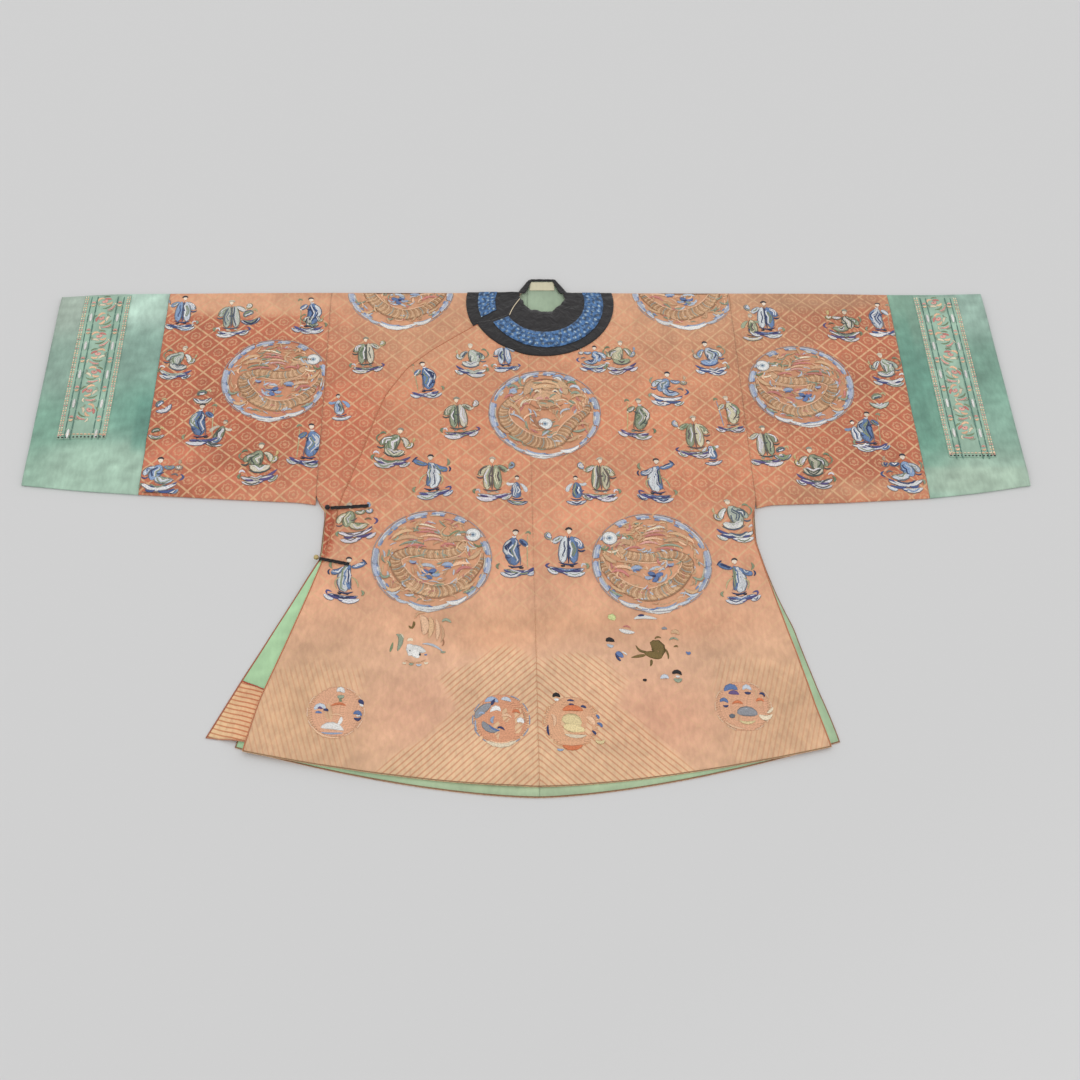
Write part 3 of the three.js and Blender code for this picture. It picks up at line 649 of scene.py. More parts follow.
# Each stitched band: first, middle and last point, three widths, role
FAN_BEARER = [
    (-24, -29, 0, -35, 25, -28, 5, 8, 4, FOAM), (-18, -31, -8, -35, 1, -34, 2, 4, WATER),
    (6, -34, 13, -33, 20, -29, 2, 3.6, WATER), (-28, -24, -22, -21, -20, -27, 2, 3.4, FOAM),
    (24, -22, 29, -26, 24, -30, 2, 3.6, WATER), (-9, -25, -7, -26, -3, -25, 3, 3.6, 2, HAIR),
    (3, -25, 6, -26, 9, -25, 3, 3.6, 2, HAIR), (-5, 25, -8, 4, -9, -21, 8, 12, 12, ROBE),
    (3, 25, 6, 4, 6, -21, 8, 12, 13, LINER), (-1, 26, -1, 4, -2, -22, 2, 2.6, 2.6, TRIMMING),
    (-7, 23, -15, 15, -19, 4, 6, 8, 12, ROBE), (6, 23, 14, 19, 20, 12, 6, 8, 9, LINER),
    (-25, 3, -19, 0, -14, 3, 2, 3, TRIMMING), (21, 14, 22, 15, 24, 17, 3, 3, SKIN),
    (23, 18, 28, 24, 27, 31, 3, 9, 4, PROP), (-10, 7, -1, 4, 8, 8, 2, 3.2, TRIMMING),
    (-7, 2, -9, -8, -11, -19, 1.3, 1.3, EDGE), (6, 2, 7, -8, 9, -19, 1.3, 1.3, EDGE),
    (-15, -20, -3, -24, 12, -20, 2, 3, TRIMMING), (-4, 31, -1.5, 32, 1, 31.5, 8, 9.5, SKIN),
    (-6, 35.5, -1, 38.5, 4, 35, 2, 4, HAIR), (-13, 20, -20, 10, -24, 6, 1.2, 1.2, EDGE),
]
STAFF_BEARER = [
    (-20, -30, 2, -36, 22, -31, 4, 7, FOAM), (-14, -32, -4, -35, 6, -34, 2, 3.6, WATER),
    (12, -34, 18, -30, 24, -27, 2, 4, WATER), (16, 30, 14, -2, 13, -28, 1.6, 1.8, PROP),
    (13, 31, 18, 34, 20, 29, 2, 4, LEAF), (-10, -26, -8, -27, -4, -26, 3, 3.4, 2, HAIR),
    (1, -27, 4, -28, 8, -27, 3, 3.4, 2, HAIR), (-2, 24, -7, 2, -4, -24, 12, 20, 18, ROBE),
    (-7, 20, -14, 8, -12, -6, 6, 10, 12, LINER), (4, 20, 10, 15, 14, 9, 6, 8, ROBE),
    (13, 9, 14, 9, 16, 10, 3, 3, SKIN), (-17, -8, -12, -11, -6, -8, 2, 3, TRIMMING),
    (-11, 12, -3, 8, 6, 12, 2, 3, TRIMMING), (-4, 22, -1, 12, 3, 3, 2, 2, TRIMMING),
    (2, -2, 4, -12, 3, -24, 1.4, 1.4, EDGE), (-8, -8, -10, -16, -10, -24, 1.4, 1.4, EDGE),
    (-14, -24, -4, -27, 7, -24, 2, 2.6, TRIMMING), (-4, 30, -1, 31, 2, 30, 8, 9, SKIN),
    (-5, 34, 0, 36.5, 4, 33.5, 2, 3.4, HAIR), (-6, 26, -3, 24, 0, 26, 2, 3, FOAM),
]
SEATED = [
    (-26, -24, -6, -34, 20, -28, 5, 9, FOAM), (-18, -28, -8, -32, 4, -32, 2, 4.4, WATER),
    (8, -30, 18, -27, 27, -20, 3, 5, 2, WATER), (-28, -18, -24, -14, -19, -18, 2, 4, FOAM),
    (6, 18, -2, 4, -6, -14, 12, 20, 17, ROBE), (-12, -8, 2, -16, 17, -11, 8, 13, LINER),
    (0, 14, -12, 8, -18, -2, 6, 9, 10, ROBE), (10, 14, 18, 6, 18, -4, 6, 8, 8, LINER),
    (-24, -4, -18, -7, -13, -4, 2, 3, TRIMMING), (-1, 17, 4, 4, 1, -12, 2, 2.4, TRIMMING),
    (-14, -14, 2, -22, 19, -16, 2, 3, TRIMMING), (2, 0, 6, -8, 12, -12, 1.3, 1.3, EDGE),
    (-8, 2, -10, -6, -8, -14, 1.3, 1.3, EDGE), (18, -6, 24, -2, 27, 6, 2, 7, 5, PROP),
    (27, 7, 29, 11, 28, 15, 2, 4, PROP), (4, 24, 7, 25, 10, 24, 8, 9.5, SKIN),
    (3, 28.5, 8, 31, 12, 27.5, 2, 4, HAIR), (-20, 2, -26, 10, -22, 18, 1.4, 2, 3, LEAF),
    (-22, 18, -17, 22, -13, 19, 2, 4, LEAF),
]
DANCER = [
    (-22, -30, -2, -35, 20, -29, 4, 7, FOAM), (-12, -32, -2, -35, 8, -33, 2, 4, WATER),
    (16, -26, 24, -24, 22, -31, 2, 3.4, WATER), (-1, 22, 5, 2, -3, -24, 10, 15, 20, LINER),
    (-3, 23, -1, 6, -8, -20, 6, 9, 10, ROBE), (-5, 20, -15, 22, -24, 30, 6, 7, 9, ROBE),
    (5, 19, 13, 10, 23, 8, 6, 8, 11, ROBE), (-27, 26, -22, 32, -18, 34, 2, 2.6, TRIMMING),
    (24, 3, 27, 8, 25, 13, 2, 2.6, TRIMMING), (-8, 6, 0, 2, 9, 6, 2, 3.4, TRIMMING),
    (4, 3, 14, -6, 10, -20, 1.5, 2.6, PROP), (-6, 3, -16, -4, -20, -16, 1.5, 2.6, PROP),
    (1, 0, 3, -10, 2, -22, 1.3, 1.3, EDGE), (-6, -2, -8, -12, -12, -20, 1.3, 1.3, EDGE),
    (-14, -23, -3, -27, 8, -23, 2, 3, TRIMMING), (-8, -27, -6, -28, -3, -27, 3, 3.2, 2, HAIR),
    (3, -27, 5, -28, 8, -26, 3, 3.2, 2, HAIR), (-3, 29, 0, 30, 3, 29, 8, 9, SKIN),
    (-4, 33, 1, 35.5, 5, 32, 2, 3.6, HAIR), (22, 14, 26, 20, 24, 27, 1.5, 4, LEAF),
]
KNEELING = [
    (-28, -20, -4, -30, 24, -22, 4, 8, FOAM), (-22, -22, -12, -27, -2, -27, 2, 4, WATER),
    (4, -26, 14, -25, 24, -18, 2, 4, WATER), (26, -16, 32, -10, 27, -4, 2, 3.6, WATER),
    (-4, 14, -8, 0, -14, -14, 12, 18, 14, LINER), (-8, -8, 2, -16, 18, -14, 9, 13, 7, ROBE),
    (-10, 10, -20, 4, -24, -6, 5, 8, 9, ROBE), (2, 11, 10, 8, 17, 11, 5, 7, 6, LINER),
    (-28, -8, -23, -11, -18, -8, 2, 2.6, TRIMMING), (-12, 0, -4, -4, 4, 0, 2, 3, TRIMMING),
    (18, 11, 23, 8, 27, 12, 3, 8, 6, PROP), (23, 15, 24, 20, 22, 24, 3, 5, 2, PROP),
    (-10, -12, -4, -19, 8, -21, 1.3, 1.3, EDGE), (6, -10, 12, -13, 20, -16, 1.3, 1.3, EDGE),
    (-7, 20, -4, 21, -1, 20, 8, 9, SKIN), (-9, 24, -4, 27, 0, 24, 2, 4, HAIR),
    (-28, 0, -30, 8, -26, 14, 1.4, 3, LEAF), (14, -6, 20, -4, 24, -8, 2, 3, EDGE),
]
CHILD = [
    (-14, -22, 0, -26, 14, -21, 3, 6, FOAM), (-7, -24, 0, -26, 7, -24, 1.5, 3, WATER),
    (0, 10, 2, -4, 0, -17, 8, 12, 14, ROBE), (-4, 8, -10, 2, -12, -6, 4, 5.5, 7, LINER),
    (4, 8, 10, 6, 14, 9, 4, 5, 6, LINER), (-6, -1, 0, -3, 7, -1, 1.6, 2.4, TRIMMING),
    (-8, -17, 0, -20, 8, -17, 1.6, 2.2, TRIMMING), (1, -5, 2, -10, 1, -16, 1.2, 1.2, EDGE),
    (-2, 15, 0, 16, 2, 15, 6, 7, SKIN), (-3, 18.5, 0, 20.5, 3, 18, 1.6, 2.8, HAIR),
]
SCROLL = [
    (-10, -4, 0, -9, 10, -3, 3, 6, FOAM), (-6, 0, -2, 5, 4, 4, 3, 6, 4, LEAF),
    (-4, -5, 0, -7, 5, -5, 1.5, 2.6, WATER), (2, 6, 6, 9, 8, 5, 1.5, 3, PROP),
]
BASE = [
    (-25, -35, -11, -40, 5, -37, 4, 8, FOAM), (-2, -33, 10, -35, 22, -30, 3, 5, WATER),
    (-20, -31, -13, -34, -6, -32, 2, 4, WATER), (12, -38, 19, -37, 27, -31, 3, 6, FOAM),
    (-10, -38, -2, -40, 6, -38, 1.6, 2.6, WATER), (-27, -29, -29, -24, -25, -20, 2, 4, LEAF),
]
FIGURES = {"fan": FAN_BEARER, "staff": STAFF_BEARER, "seated": SEATED, "dancer": DANCER,
           "kneeling": KNEELING, "child": CHILD, "scroll": SCROLL}
# Where they stand: kind, x, y, size, turn in degrees, mirrored, dye set
ON_FRONT = [
    ("staff", -180, -204, 0.86, 8, 1, 1), ("seated", -97, -156, 0.84, -6, 1, 0),
    ("fan", -41, -152, 0.7, 4, 0, 3), ("fan", -120, -289, 0.92, 5, 0, 2),
    ("seated", -228, -350, 0.95, -4, 0, 2), ("dancer", -163, -413, 0.95, 6, 0, 1),
    ("fan", -63, -420, 0.92, 0, 0, 4), ("child", -24, -440, 1.0, 0, 1, 1),
    ("kneeling", -286, -500, 0.92, 10, 0, 4), ("dancer", -294, -616, 0.9, -6, 1, 1),
    ("staff", -26, -567, 0.95, 2, 0, 1), ("fan", 54, -565, 0.95, -3, 1, 1),
    ("fan", 112, -420, 0.92, 0, 1, 4), ("child", 72, -440, 1.0, 0, 0, 1),
    ("seated", 158, -148, 0.84, 8, 0, 4), ("kneeling", 112, -150, 0.72, 0, 1, 3),
    ("staff", 181, -289, 0.92, -6, 1, 2), ("kneeling", 240, -218, 0.9, -8, 0, 3),
    ("seated", 318, -150, 0.86, 0, 1, 3), ("fan", 275, -330, 0.92, 0, 1, 4),
    ("child", 300, -362, 0.9, 8, 0, 1), ("dancer", 205, -420, 0.95, -4, 1, 1),
    ("seated", 326, -500, 0.95, 0, 1, 0), ("dancer", 321, -620, 0.9, 5, 0, 1),
    ("staff", 338, -280, 0.84, 5, 1, 4),
]
ON_SHOULDER = [("fan", -281, -146, 0.84, 3, 0, 2), ("child", -322, -262, 1.0, 10, 1, 3)]
ON_SLEEVE_RIGHT = [
    ("fan", -610, -46, 0.85, 0, 1, 3), ("fan", -521, -60, 0.9, 4, 0, 0),
    ("scroll", -490, -56, 1.4, 10, 0, 1), ("staff", -386, -50, 0.9, 0, 1, 1),
    ("seated", -382, -66, 0.6, 4, 0, 2), ("seated", -605, -160, 0.85, -4, 0, 0),
    ("staff", -548, -300, 0.95, 6, 0, 1), ("child", -518, -318, 1.0, -20, 0, 2),
    ("scroll", -554, -240, 1.3, 0, 0, 0), ("kneeling", -604, -405, 0.95, 0, 0, 3),
    ("seated", -450, -382, 0.95, 8, 0, 2), ("staff", -370, -345, 0.95, -4, 1, 1),
    ("scroll", -620, -262, 1.2, 30, 0, 1), ("scroll", -622, -322, 1.1, 0, 0, 2),
]
ON_SLEEVE_LEFT = [
    ("fan", 424, -60, 0.9, 0, 1, 1), ("child", 398, -76, 1.1, 0, 0, 4),
    ("kneeling", 563, -68, 0.9, -4, 1, 2), ("staff", 632, -60, 0.85, 0, 0, 3),
    ("seated", 625, -176, 0.85, 0, 1, 0), ("kneeling", 616, -402, 0.95, 0, 1, 3),
    ("staff", 575, -318, 0.9, 0, 0, 1), ("child", 551, -322, 1.0, 12, 1, 3),
    ("scroll", 600, -250, 1.4, 0, 0, 0), ("fan", 392, -350, 0.88, 2, 1, 2),
    ("seated", 471, -392, 0.95, -6, 1, 2), ("scroll", 420, -366, 1.2, 0, 0, 1),
]


def beside(paths):
    """Unit vectors to the left of each path, station by station."""
    ahead = np.gradient(paths, axis=1)
    ahead /= np.maximum(np.linalg.norm(ahead, axis=2, keepdims=True), 1e-6)
    return np.stack([-ahead[..., 1], ahead[..., 0]], -1)


def whole(rows):
    """Rows of three points, their widths and a thread; a row with two widths ends as it starts."""
    return [row if len(row) == 10 else (*row[:8], row[6], row[8]) for row in rows]


def curve(rows):
    """Bands from rows of three points and three widths: a parabola through the points, with the
    width on a parabola of its own and drawn in to a round end, sqrt(1 - (2t - 1)^4)."""
    t = (0.5 - 0.5 * np.cos(np.linspace(0.12, np.pi - 0.12, 7)))[None, :, None]
    first, middle, last = 2 * t * t - 3 * t + 1, 4 * t - 4 * t * t, 2 * t * t - t
    rows = rows[:, None, :]
    paths = rows[..., 0:2] * first + rows[..., 2:4] * middle + rows[..., 4:6] * last
    widths = (rows[..., 6:7] * first + rows[..., 7:8] * middle + rows[..., 8:9] * last)[..., 0]
    ends = np.sqrt(1 - np.clip(np.abs(2 * t[..., 0] - 1), 0, 1) ** 4)
    return paths, np.maximum(widths, 0.4) * ends


def placed(paths, widths, x, y, size, turn=0, mirrored=0):
    """Paths and widths scaled, mirrored left to right, turned and moved to a place."""
    shape = paths * size * np.array([-1.0 if mirrored else 1.0, 1.0])
    c, s = np.cos(np.radians(turn)), np.sin(np.radians(turn))
    turned = np.stack([shape[..., 0] * c - shape[..., 1] * s, shape[..., 0] * s + shape[..., 1] * c], -1)
    return turned + np.array([x, y]), widths * size


def figures(places):
    """The bands of every figure in a list, with their colours. Each broad band of a robe also gets
    a dark line along both sides and a few narrow streaks of other thread along it."""
    made = []
    dice = np.random.default_rng(7)
    for kind, x, y, size, turn, mirrored, dyes in places:
        rows = np.array(whole(FIGURES[kind] + ([] if kind in ("child", "scroll") else BASE)), dtype=float)
        role = rows[:, 9].astype(int)
        palette = np.array(DYE_SETS[dyes], dtype=float)
        paths, widths = curve(rows)
        colours = palette[role] * dice.uniform(0.93, 1.06, (len(rows), 1))
        broad = np.flatnonzero((rows[:, 7] > 5.5) & (role != SKIN))
        reach = beside(paths[broad]) * widths[broad][..., None] / 2
        groups = [(paths, widths, colours, 0.0)]
        for share, wide in ((-1.0, 1.5), (1.0, 1.3), (-0.5, 2.2), (0.05, 1.8), (0.55, 2.4)):
            streak = abs(share) < 1
            drift = share + (0.16 * dice.uniform(-1, 1, (len(broad), 1, 1)) if streak else 0)
            lines = paths[broad] + reach * drift
            start, end = dice.uniform(0, 0.5, len(broad)), dice.uniform(0.75, 1, len(broad))
            if streak:
                middle = lines.mean(axis=1, keepdims=True)
                lines = middle + (lines - middle) * (end - start)[:, None, None]
                lines = lines + reach * 0.3 * np.sin(np.linspace(0, 9, 7))[:, None]
                pick = dice.choice([LINER, TRIMMING, FOAM, ROBE, FOAM, FOAM, TRIMMING, LEAF], len(broad))
            else:
                pick = np.full(len(broad), EDGE)
            keep = rows[broad, 7] > (8.5 if streak and abs(share) > 0.5 else 5.5)
            thin = np.full(lines.shape[:2], wide) * np.sqrt(1 - np.linspace(-0.98, 0.98, 7) ** 4)
            shades = palette[pick][keep] * dice.uniform(0.9, 1.08, (keep.sum(), 1))
            groups.append((lines[keep], thin[keep], shades, 1.0 if streak else 0.3))
        for line, width, colour, lift in groups:
            made.append((*placed(line, width, x, y, size * 1.2, turn, mirrored), colour, 0.5, lift))
    return made


THREAD = {
    "white": (232, 230, 226), "cream": (236, 220, 192), "peach": (240, 196, 160), "pink": (226, 168, 156),
    "rose": (206, 132, 124), "tan": (208, 166, 130), "gold": (220, 180, 140), "bronze": (178, 128, 96),
    "sky": (160, 176, 202), "blue": (98, 122, 170), "navy": (54, 62, 104), "mist": (196, 204, 214),
    "grey": (150, 152, 158), "sage": (152, 164, 142), "olive": (118, 98, 52), "moss": (128, 146, 112),
    "black": (34, 30, 32), "plum": (104, 84, 128), "teal": (92, 132, 120), "straw": (228, 208, 158),
    "slate": (112, 118, 126), "lime": (206, 214, 150), "ember": (222, 128, 84),
}
# A coiled dragon seen from above, head up and to the right: spine x, y and width
SPINE = [(52, 30, 9), (38, 15, 17), (4, 9, 19), (-34, 15, 17), (-56, 2, 18), (-50, -22, 21), (-28, -48, 24),
         (6, -62, 24), (38, -53, 20), (62, -31, 14), (77, -8, 8), (80, 12, 3)]
FRONTAL_SPINE = [(-38, 40, 9), (-58, 24, 15), (-70, 2, 18), (-64, -24, 21), (-44, -46, 24), (-20, -62, 25),
                 (4, -66, 25), (24, -56, 24), (38, -32, 21), (56, -10, 17), (72, 6, 12), (74, 32, 5)]
FRONTAL = [
    (-34, 40, -22, 62, -8, 74, 12, 22, 14, "tan"), (-20, 30, 4, 40, 30, 30, 14, 26, "tan"),
    (38, 40, 30, 62, 16, 74, 12, 22, 14, "gold"), (-20, 56, 4, 66, 28, 56, 14, 24, "gold"),
    (-14, 26, 4, 18, 24, 26, 8, 13, "tan"), (-34, 68, -30, 80, -18, 84, 3, 5, "white"),
    (-38, 62, -42, 72, -36, 80, 3, 5, "sage"), (14, 80, 28, 84, 34, 74, 3, 6, "sky"),
    (16, 76, 26, 79, 30, 70, 2, 4, "white"), (-12, 84, 4, 88, 18, 84, 2, 4, "peach"),
    (-16, 46, -12, 50, -7, 46, 3, 5, "cream"), (14, 46, 19, 50, 24, 46, 3, 5, "cream"),
    (-14, 46.4, -12, 47.6, -10, 46.4, 2.4, 3, "navy"), (17, 46.4, 19, 47.6, 21, 46.4, 2.4, 3, "navy"),
    (-9, 34, -6, 44, -7, 54, 3, 5, "peach"), (-14, 30, -8, 33, -2, 30, 4, 6, "pink"),
    (2, 30, 4, 34, 8, 30, 2, 4, "rose"), (-26, 22, 0, 8, 32, 20, 2, 3.4, "bronze"),
    (-30, 30, -38, 22, -40, 12, 2, 4, "cream"), (36, 30, 42, 22, 50, 18, 2, 4, "peach"),
    (-46, 44, -54, 50, -58, 42, 5, 8, 4, "sky"), (-44, 52, -52, 60, -62, 54, 3, 6, "sage"),
    (-52, 34, -60, 38, -68, 30, 3, 5, "rose"), (44, 56, 54, 60, 62, 50, 4, 7, 3, "mist"),
    (40, 66, 48, 70, 56, 64, 3, 5, "moss"), (46, 42, 54, 46, 62, 40, 3, 6, "sage"),
    (44, 30, 60, 40, 74, 30, 3, 6, "gold"), (-66, 18, -50, 12, -42, -6, 3, 7, "gold"),
    (-60, -4, -46, -8, -34, -20, 2, 4, "mist"), (-36, -16, -30, -6, -18, -2, 2, 4, "peach"),
    (26, -4, 32, 6, 44, 8, 2, 4, "mist"), (-18, -6, -14, -26, 4, -38, 3, 5, "bronze"),
    (56, -28, 64, -22, 74, -28, 3, 6, "tan"), (46, -40, 58, -40, 68, -34, 3, 5, "sage"),
    (-78, -28, -70, -40, -60, -46, 3, 6, "tan"), (-62, -50, -52, -58, -40, -62, 2, 5, "sage"),
    (34, -62, 46, -58, 56, -48, 3, 6, "gold"), (-16, 60, 2, 66, 22, 60, 1.4, 2, "bronze"),
    (-22, 68, 2, 76, 26, 68, 1.4, 2, "bronze"), (-24, 38, -22, 46, -18, 52, 1.4, 2, "sage"),
    (30, 38, 28, 46, 24, 52, 1.4, 2, "sage"), (-6, 24, -24, 30, -36, 20, 1.6, 2.6, "cream"),
    (14, 24, 32, 30, 42, 20, 1.6, 2.6, "cream"), (-20, 74, -10, 66, -14, 58, 2, 4, "peach"),
    (24, 74, 16, 66, 20, 58, 2, 4, "peach"), (-4, 70, 2, 60, 8, 70, 2, 4, "cream"),
    (-26, 58, -20, 52, -24, 44, 2, 3.4, "sky"), (32, 58, 28, 52, 32, 44, 2, 3.4, "mist"),
    (-10, 18, -6, 10, -10, 4, 1.6, 2.6, "cream"), (10, 18, 8, 8, 12, 2, 1.6, 2.6, "gold"),
]
DRAGON = [
    (24, 30, 42, 42, 62, 30, 8, 15, 7, "tan"), (34, 38, 44, 52, 60, 50, 3, 5, "sage"),
    (26, 44, 34, 52, 44, 56, 2, 3.4, "moss"), (44, 34, 56, 36, 66, 28, 3, 4, 2, "peach"),
    (50, 26, 62, 20, 72, 24, 2, 4, "cream"), (38, 46, 42, 48, 46, 46, 3, 4, "white"),
    (41, 47, 42, 47.4, 43.5, 47, 2, 2.4, "navy"), (22, 40, 14, 52, 24, 64, 3, 5, 2, "gold"),
    (30, 62, 40, 72, 52, 66, 3, 6, "tan"), (18, 34, 2, 40, -14, 34, 3, 5, 2, "pink"),
    (16, 40, -2, 47, -22, 42, 3, 5, 2, "peach"), (12, 47, -6, 54, -26, 51, 2, 4.5, "rose"),
    (10, 54, -6, 60, -24, 60, 2, 4, "pink"), (6, 60, -10, 67, -26, 68, 2, 4, "cream"),
    (-20, 38, -40, 44, -60, 34, 4, 9, 3, "tan"), (-30, 54, -48, 54, -66, 38, 3, 7, "gold"),
    (-14, 30, -34, 34, -52, 26, 2, 4, "sage"), (-8, 24, -26, 28, -44, 22, 2, 4, "rose"),
    (14, 24, 26, 30, 40, 24, 2, 4, "rose"), (56, 0, 68, 6, 78, 20, 4, 8, 3, "gold"),
    (14, -8, 34, 0, 56, 2, 2, 5, 3, "tan"), (30, -16, 44, -8, 62, -10, 3, 7, "peach"),
    (38, -28, 50, -16, 66, -20, 3, 6, 2, "rose"), (-62, -28, -74, -34, -80, -24, 3, 5, 2, "sage"),
    (-46, -50, -60, -58, -70, -50, 4, 7, 3, "gold"), (-48, -58, -58, -64, -68, -60, 2, 4, "mist"),
    (44, -58, 58, -52, 68, -42, 3, 6, 2, "gold"), (50, -64, 60, -60, 70, -52, 2, 4, "sage"),
    (66, 30, 74, 24, 80, 30, 2, 4, "moss"), (-8, 10, -22, 6, -34, 3, 1.4, 2.6, "sage"),
    (-34, -2, -30, -6, -24, -4, 4, 6, 3, "sky"), (-33, -5, -29, -8, -24, -6, 2, 3, "plum"),
    (16, -12, 26, -10, 34, -14, 5, 8, 4, "sky"), (20, -16, 26, -15, 31, -17, 2, 3, "blue"),
]
BLOOM = [
    (-20, -14, -8, -10, 6, -16, 4, 7, "mist"), (-22, -22, -16, -34, -4, -38, 3, 5, "mist"),
    (-16, -20, -10, -24, -4, -26, 6, 9, "blue"), (-4, -26, 2, -22, 8, -20, 6, 9, 5, "blue"),
    (-6, -26, -4, -33, 2, -36, 5, 8, "blue"), (0, -28, 8, -30, 13, -27, 5, 7, 4, "sky"),
    (-10, -28, -14, -32, -12, -36, 4, 6, "sky"), (-5, -25, -1, -26, 3, -27, 4, 5, "navy"),
]
WAVES = [
    (-38, -80, -4, -94, 34, -80, 5, 10, 4, "white"), (-34, -77, -18, -87, 0, -86, 2, 4, "sky"),
    (-6, -86, 12, -91, 30, -81, 2, 4.4, "blue"), (24, -80, 40, -82, 56, -70, 4, 9, "white"),
    (30, -79, 42, -78, 54, -70, 1.6, 3, "sky"), (-56, -70, -46, -79, -32, -82, 3, 6, "mist"),
    (-22, -91, -12, -93.5, -2, -93, 1.4, 2.4, "grey"),
]
# Cloud scraps round a roundel: angle, reach in degrees, width
CLOUDS = [(150, 26, 7), (128, 20, 10), (106, 22, 9), (84, 14, 9), (60, 12, 13), (176, 20, 15),
          (192, 18, 17),
          (210, 18, 10), (228, 14, 7), (14, 18, 13), (-8, 20, 15), (-28, 18, 10), (-44, 12, 7), (34, 10, 8)]
FLOWER_EMBLEM = [
    (-12, 6, -6, -4, -10, -14, 10, 15, 8, "white"), (4, 2, 0, -8, 6, -18, 10, 15, 8, "white"),
    (-14, -4, 0, -2, 16, -8, 10, 14, 8, "white"), (-12, 12, -8, 15, -4, 12, 4, 6, 3, "cream"),
    (-9, -5, -8, -5.6, -6.5, -5, 3.4, 4.4, "black"), (6, -11, 7, -11.6, 8.5, -11, 4, 5.4, "black"),
    (14, -12, 16, -13, 18, -12, 2.4, 3, "blue"), (-30, 24, -22, 16, -27, -6, 3, 8, 5, "sage"),
    (-34, 10, -36, 0, -38, -8, 2, 4, "moss"), (-24, 26, -20, 22, -18, 16, 1.4, 2.6, "cream"),
    (-11, 40, -6, 36, -2, 44, 2, 4, "olive"), (-6, 34, -3, 42, -4, 47, 2, 4, "olive"),
    (6, 58, 14, 44, 12, 22, 6, 14, 8, "peach"), (20, 56, 24, 40, 20, 16, 4, 9, 6, "gold"),
    (30, 52, 34, 34, 32, 12, 3, 7, 4, "peach"), (38, 42, 42, 24, 38, 8, 2, 4, "tan"),
    (10, 6, 26, 4, 42, -8, 2, 4, "mist"), (38, -8, 42, -9, 46, -8, 2.4, 3.4, "sage"),
    (40, 18, 43, 8, 40, 2, 1.4, 2.4, "bronze"), (-18, -26, -16, -28, -13, -27, 3, 4, "cream"),
    (-8, -28, -6, -30, -2, -29, 3, 4, "sage"), (2, -30, 6, -32, 10, -30, 3, 4, "mist"),
    (14, -27, 17, -29, 20, -27, 3, 4, "cream"), (-14, -22, 0, -27, 16, -22, 1.2, 2, "tan"),
    (40, 46, 46, 50, 54, 44, 3, 5, "sage"), (-2, 52, 4, 62, 14, 62, 2, 4, "tan"),
]
DARK_EMBLEM = [
    (-4, 14, 8, 6, 6, -14, 12, 22, 14, "olive"), (-14, -4, 2, -8, 14, -10, 8, 14, 10, "olive"),
    (-26, 10, -20, 0, -10, -2, 2, 4, 5, "olive"), (-34, -12, -24, -10, -12, -8, 2, 5, 6, "olive"),
    (-4, -16, -4, -22, -6, -28, 4, 4, 2, "olive"), (18, 4, 22, -6, 22, -16, 3, 3, 2, "olive"),
    (4, 20, 8, 24, 14, 22, 2, 3, "olive"), (4, 2, 8, -2, 8, -8, 2, 3, "bronze"),
    (-70, 16, -66, 20, -58, 16, 5, 8, "black"), (-70, 12, -64, 8, -60, 10, 3, 6, "mist"),
    (-56, -2, -52, -6, -46, -12, 5, 9, "blue"), (-58, -4, -54, -14, -50, -18, 2, 4, "navy"),
    (-48, -2, -44, -4, -40, -8, 2, 3, "white"), (-64, 56, -60, 60, -56, 54, 9, 12, 8, "lime"),
    (-50, 38, -40, 34, -26, 32, 4, 8, "white"), (-44, 42, -38, 44, -32, 40, 1.6, 3, "rose"),
    (-26, 56, -12, 60, 10, 56, 4, 7, "white"), (-20, 60, -14, 62, -8, 60, 4, 6, 3, "navy"),
    (16, 38, 20, 40, 24, 38, 3, 5, "grey"), (30, 30, 36, 34, 42, 28, 4, 8, "gold"),
    (50, -2, 54, -6, 56, -2, 3, 5, "blue"), (32, 6, 36, 8, 38, 6, 2, 3, "olive"),
    (-18, -50, -16, -52, -13, -51, 4, 5, "black"), (8, -50, 14, -46, 20, -50, 4, 8, "mist"),
    (26, -42, 34, -38, 40, -44, 5, 7, 4, "black"), (28, -50, 34, -54, 40, -50, 4, 7, "sage"),
    (31, -46, 34, -47, 37, -46, 3, 4, "white"), (26, 18, 32, 22, 40, 18, 2, 3, "sage"),
]
PALE_ROUND = [
    (-21, -26, -4, -23, 13, -31, 6, 13, 5, "white"), (8, -8, 8, -14, 4, -22, 3, 6, 5, "white"),
    (-20, -34, -5, -36, 13, -35, 2, 3.4, "sky"), (-32, 4, -24, 11, -15, 5, 6, 9, 5, "mist"),
    (-28, 6, -24, 8, -20, 5, 3, 5, "plum"), (-18, 2, -15, 4, -11, 1, 3, 5, "navy"),
    (-30, -1, -26, 0, -20, -2, 2, 4, "blue"), (0, 34, 5, 38, 11, 32, 5, 9, "white"),
    (1, 27, 6, 25, 11, 27, 4, 7, "sage"), (4, 22, 6, 19, 8, 18, 2, 4, "moss"),
    (32, 19, 36, 17, 40, 12, 4, 7, 3, "navy"), (34, 13, 37, 11, 40, 9, 2, 4, "white"),
    (26, -4, 32, -1, 38, -7, 4, 7, "blue"), (27, -10, 33, -13, 37, -9, 3, 5, "navy"),
    (30, -6, 33, -7, 36, -6, 2, 3, "white"), (-34, -22, -16, -40, 10, -42, 2, 4, "peach"),
    (-8, 10, 4, 14, 14, 10, 2, 4, "ember"), (-6, -6, 2, -4, 10, -8, 2, 3, "peach"),
]
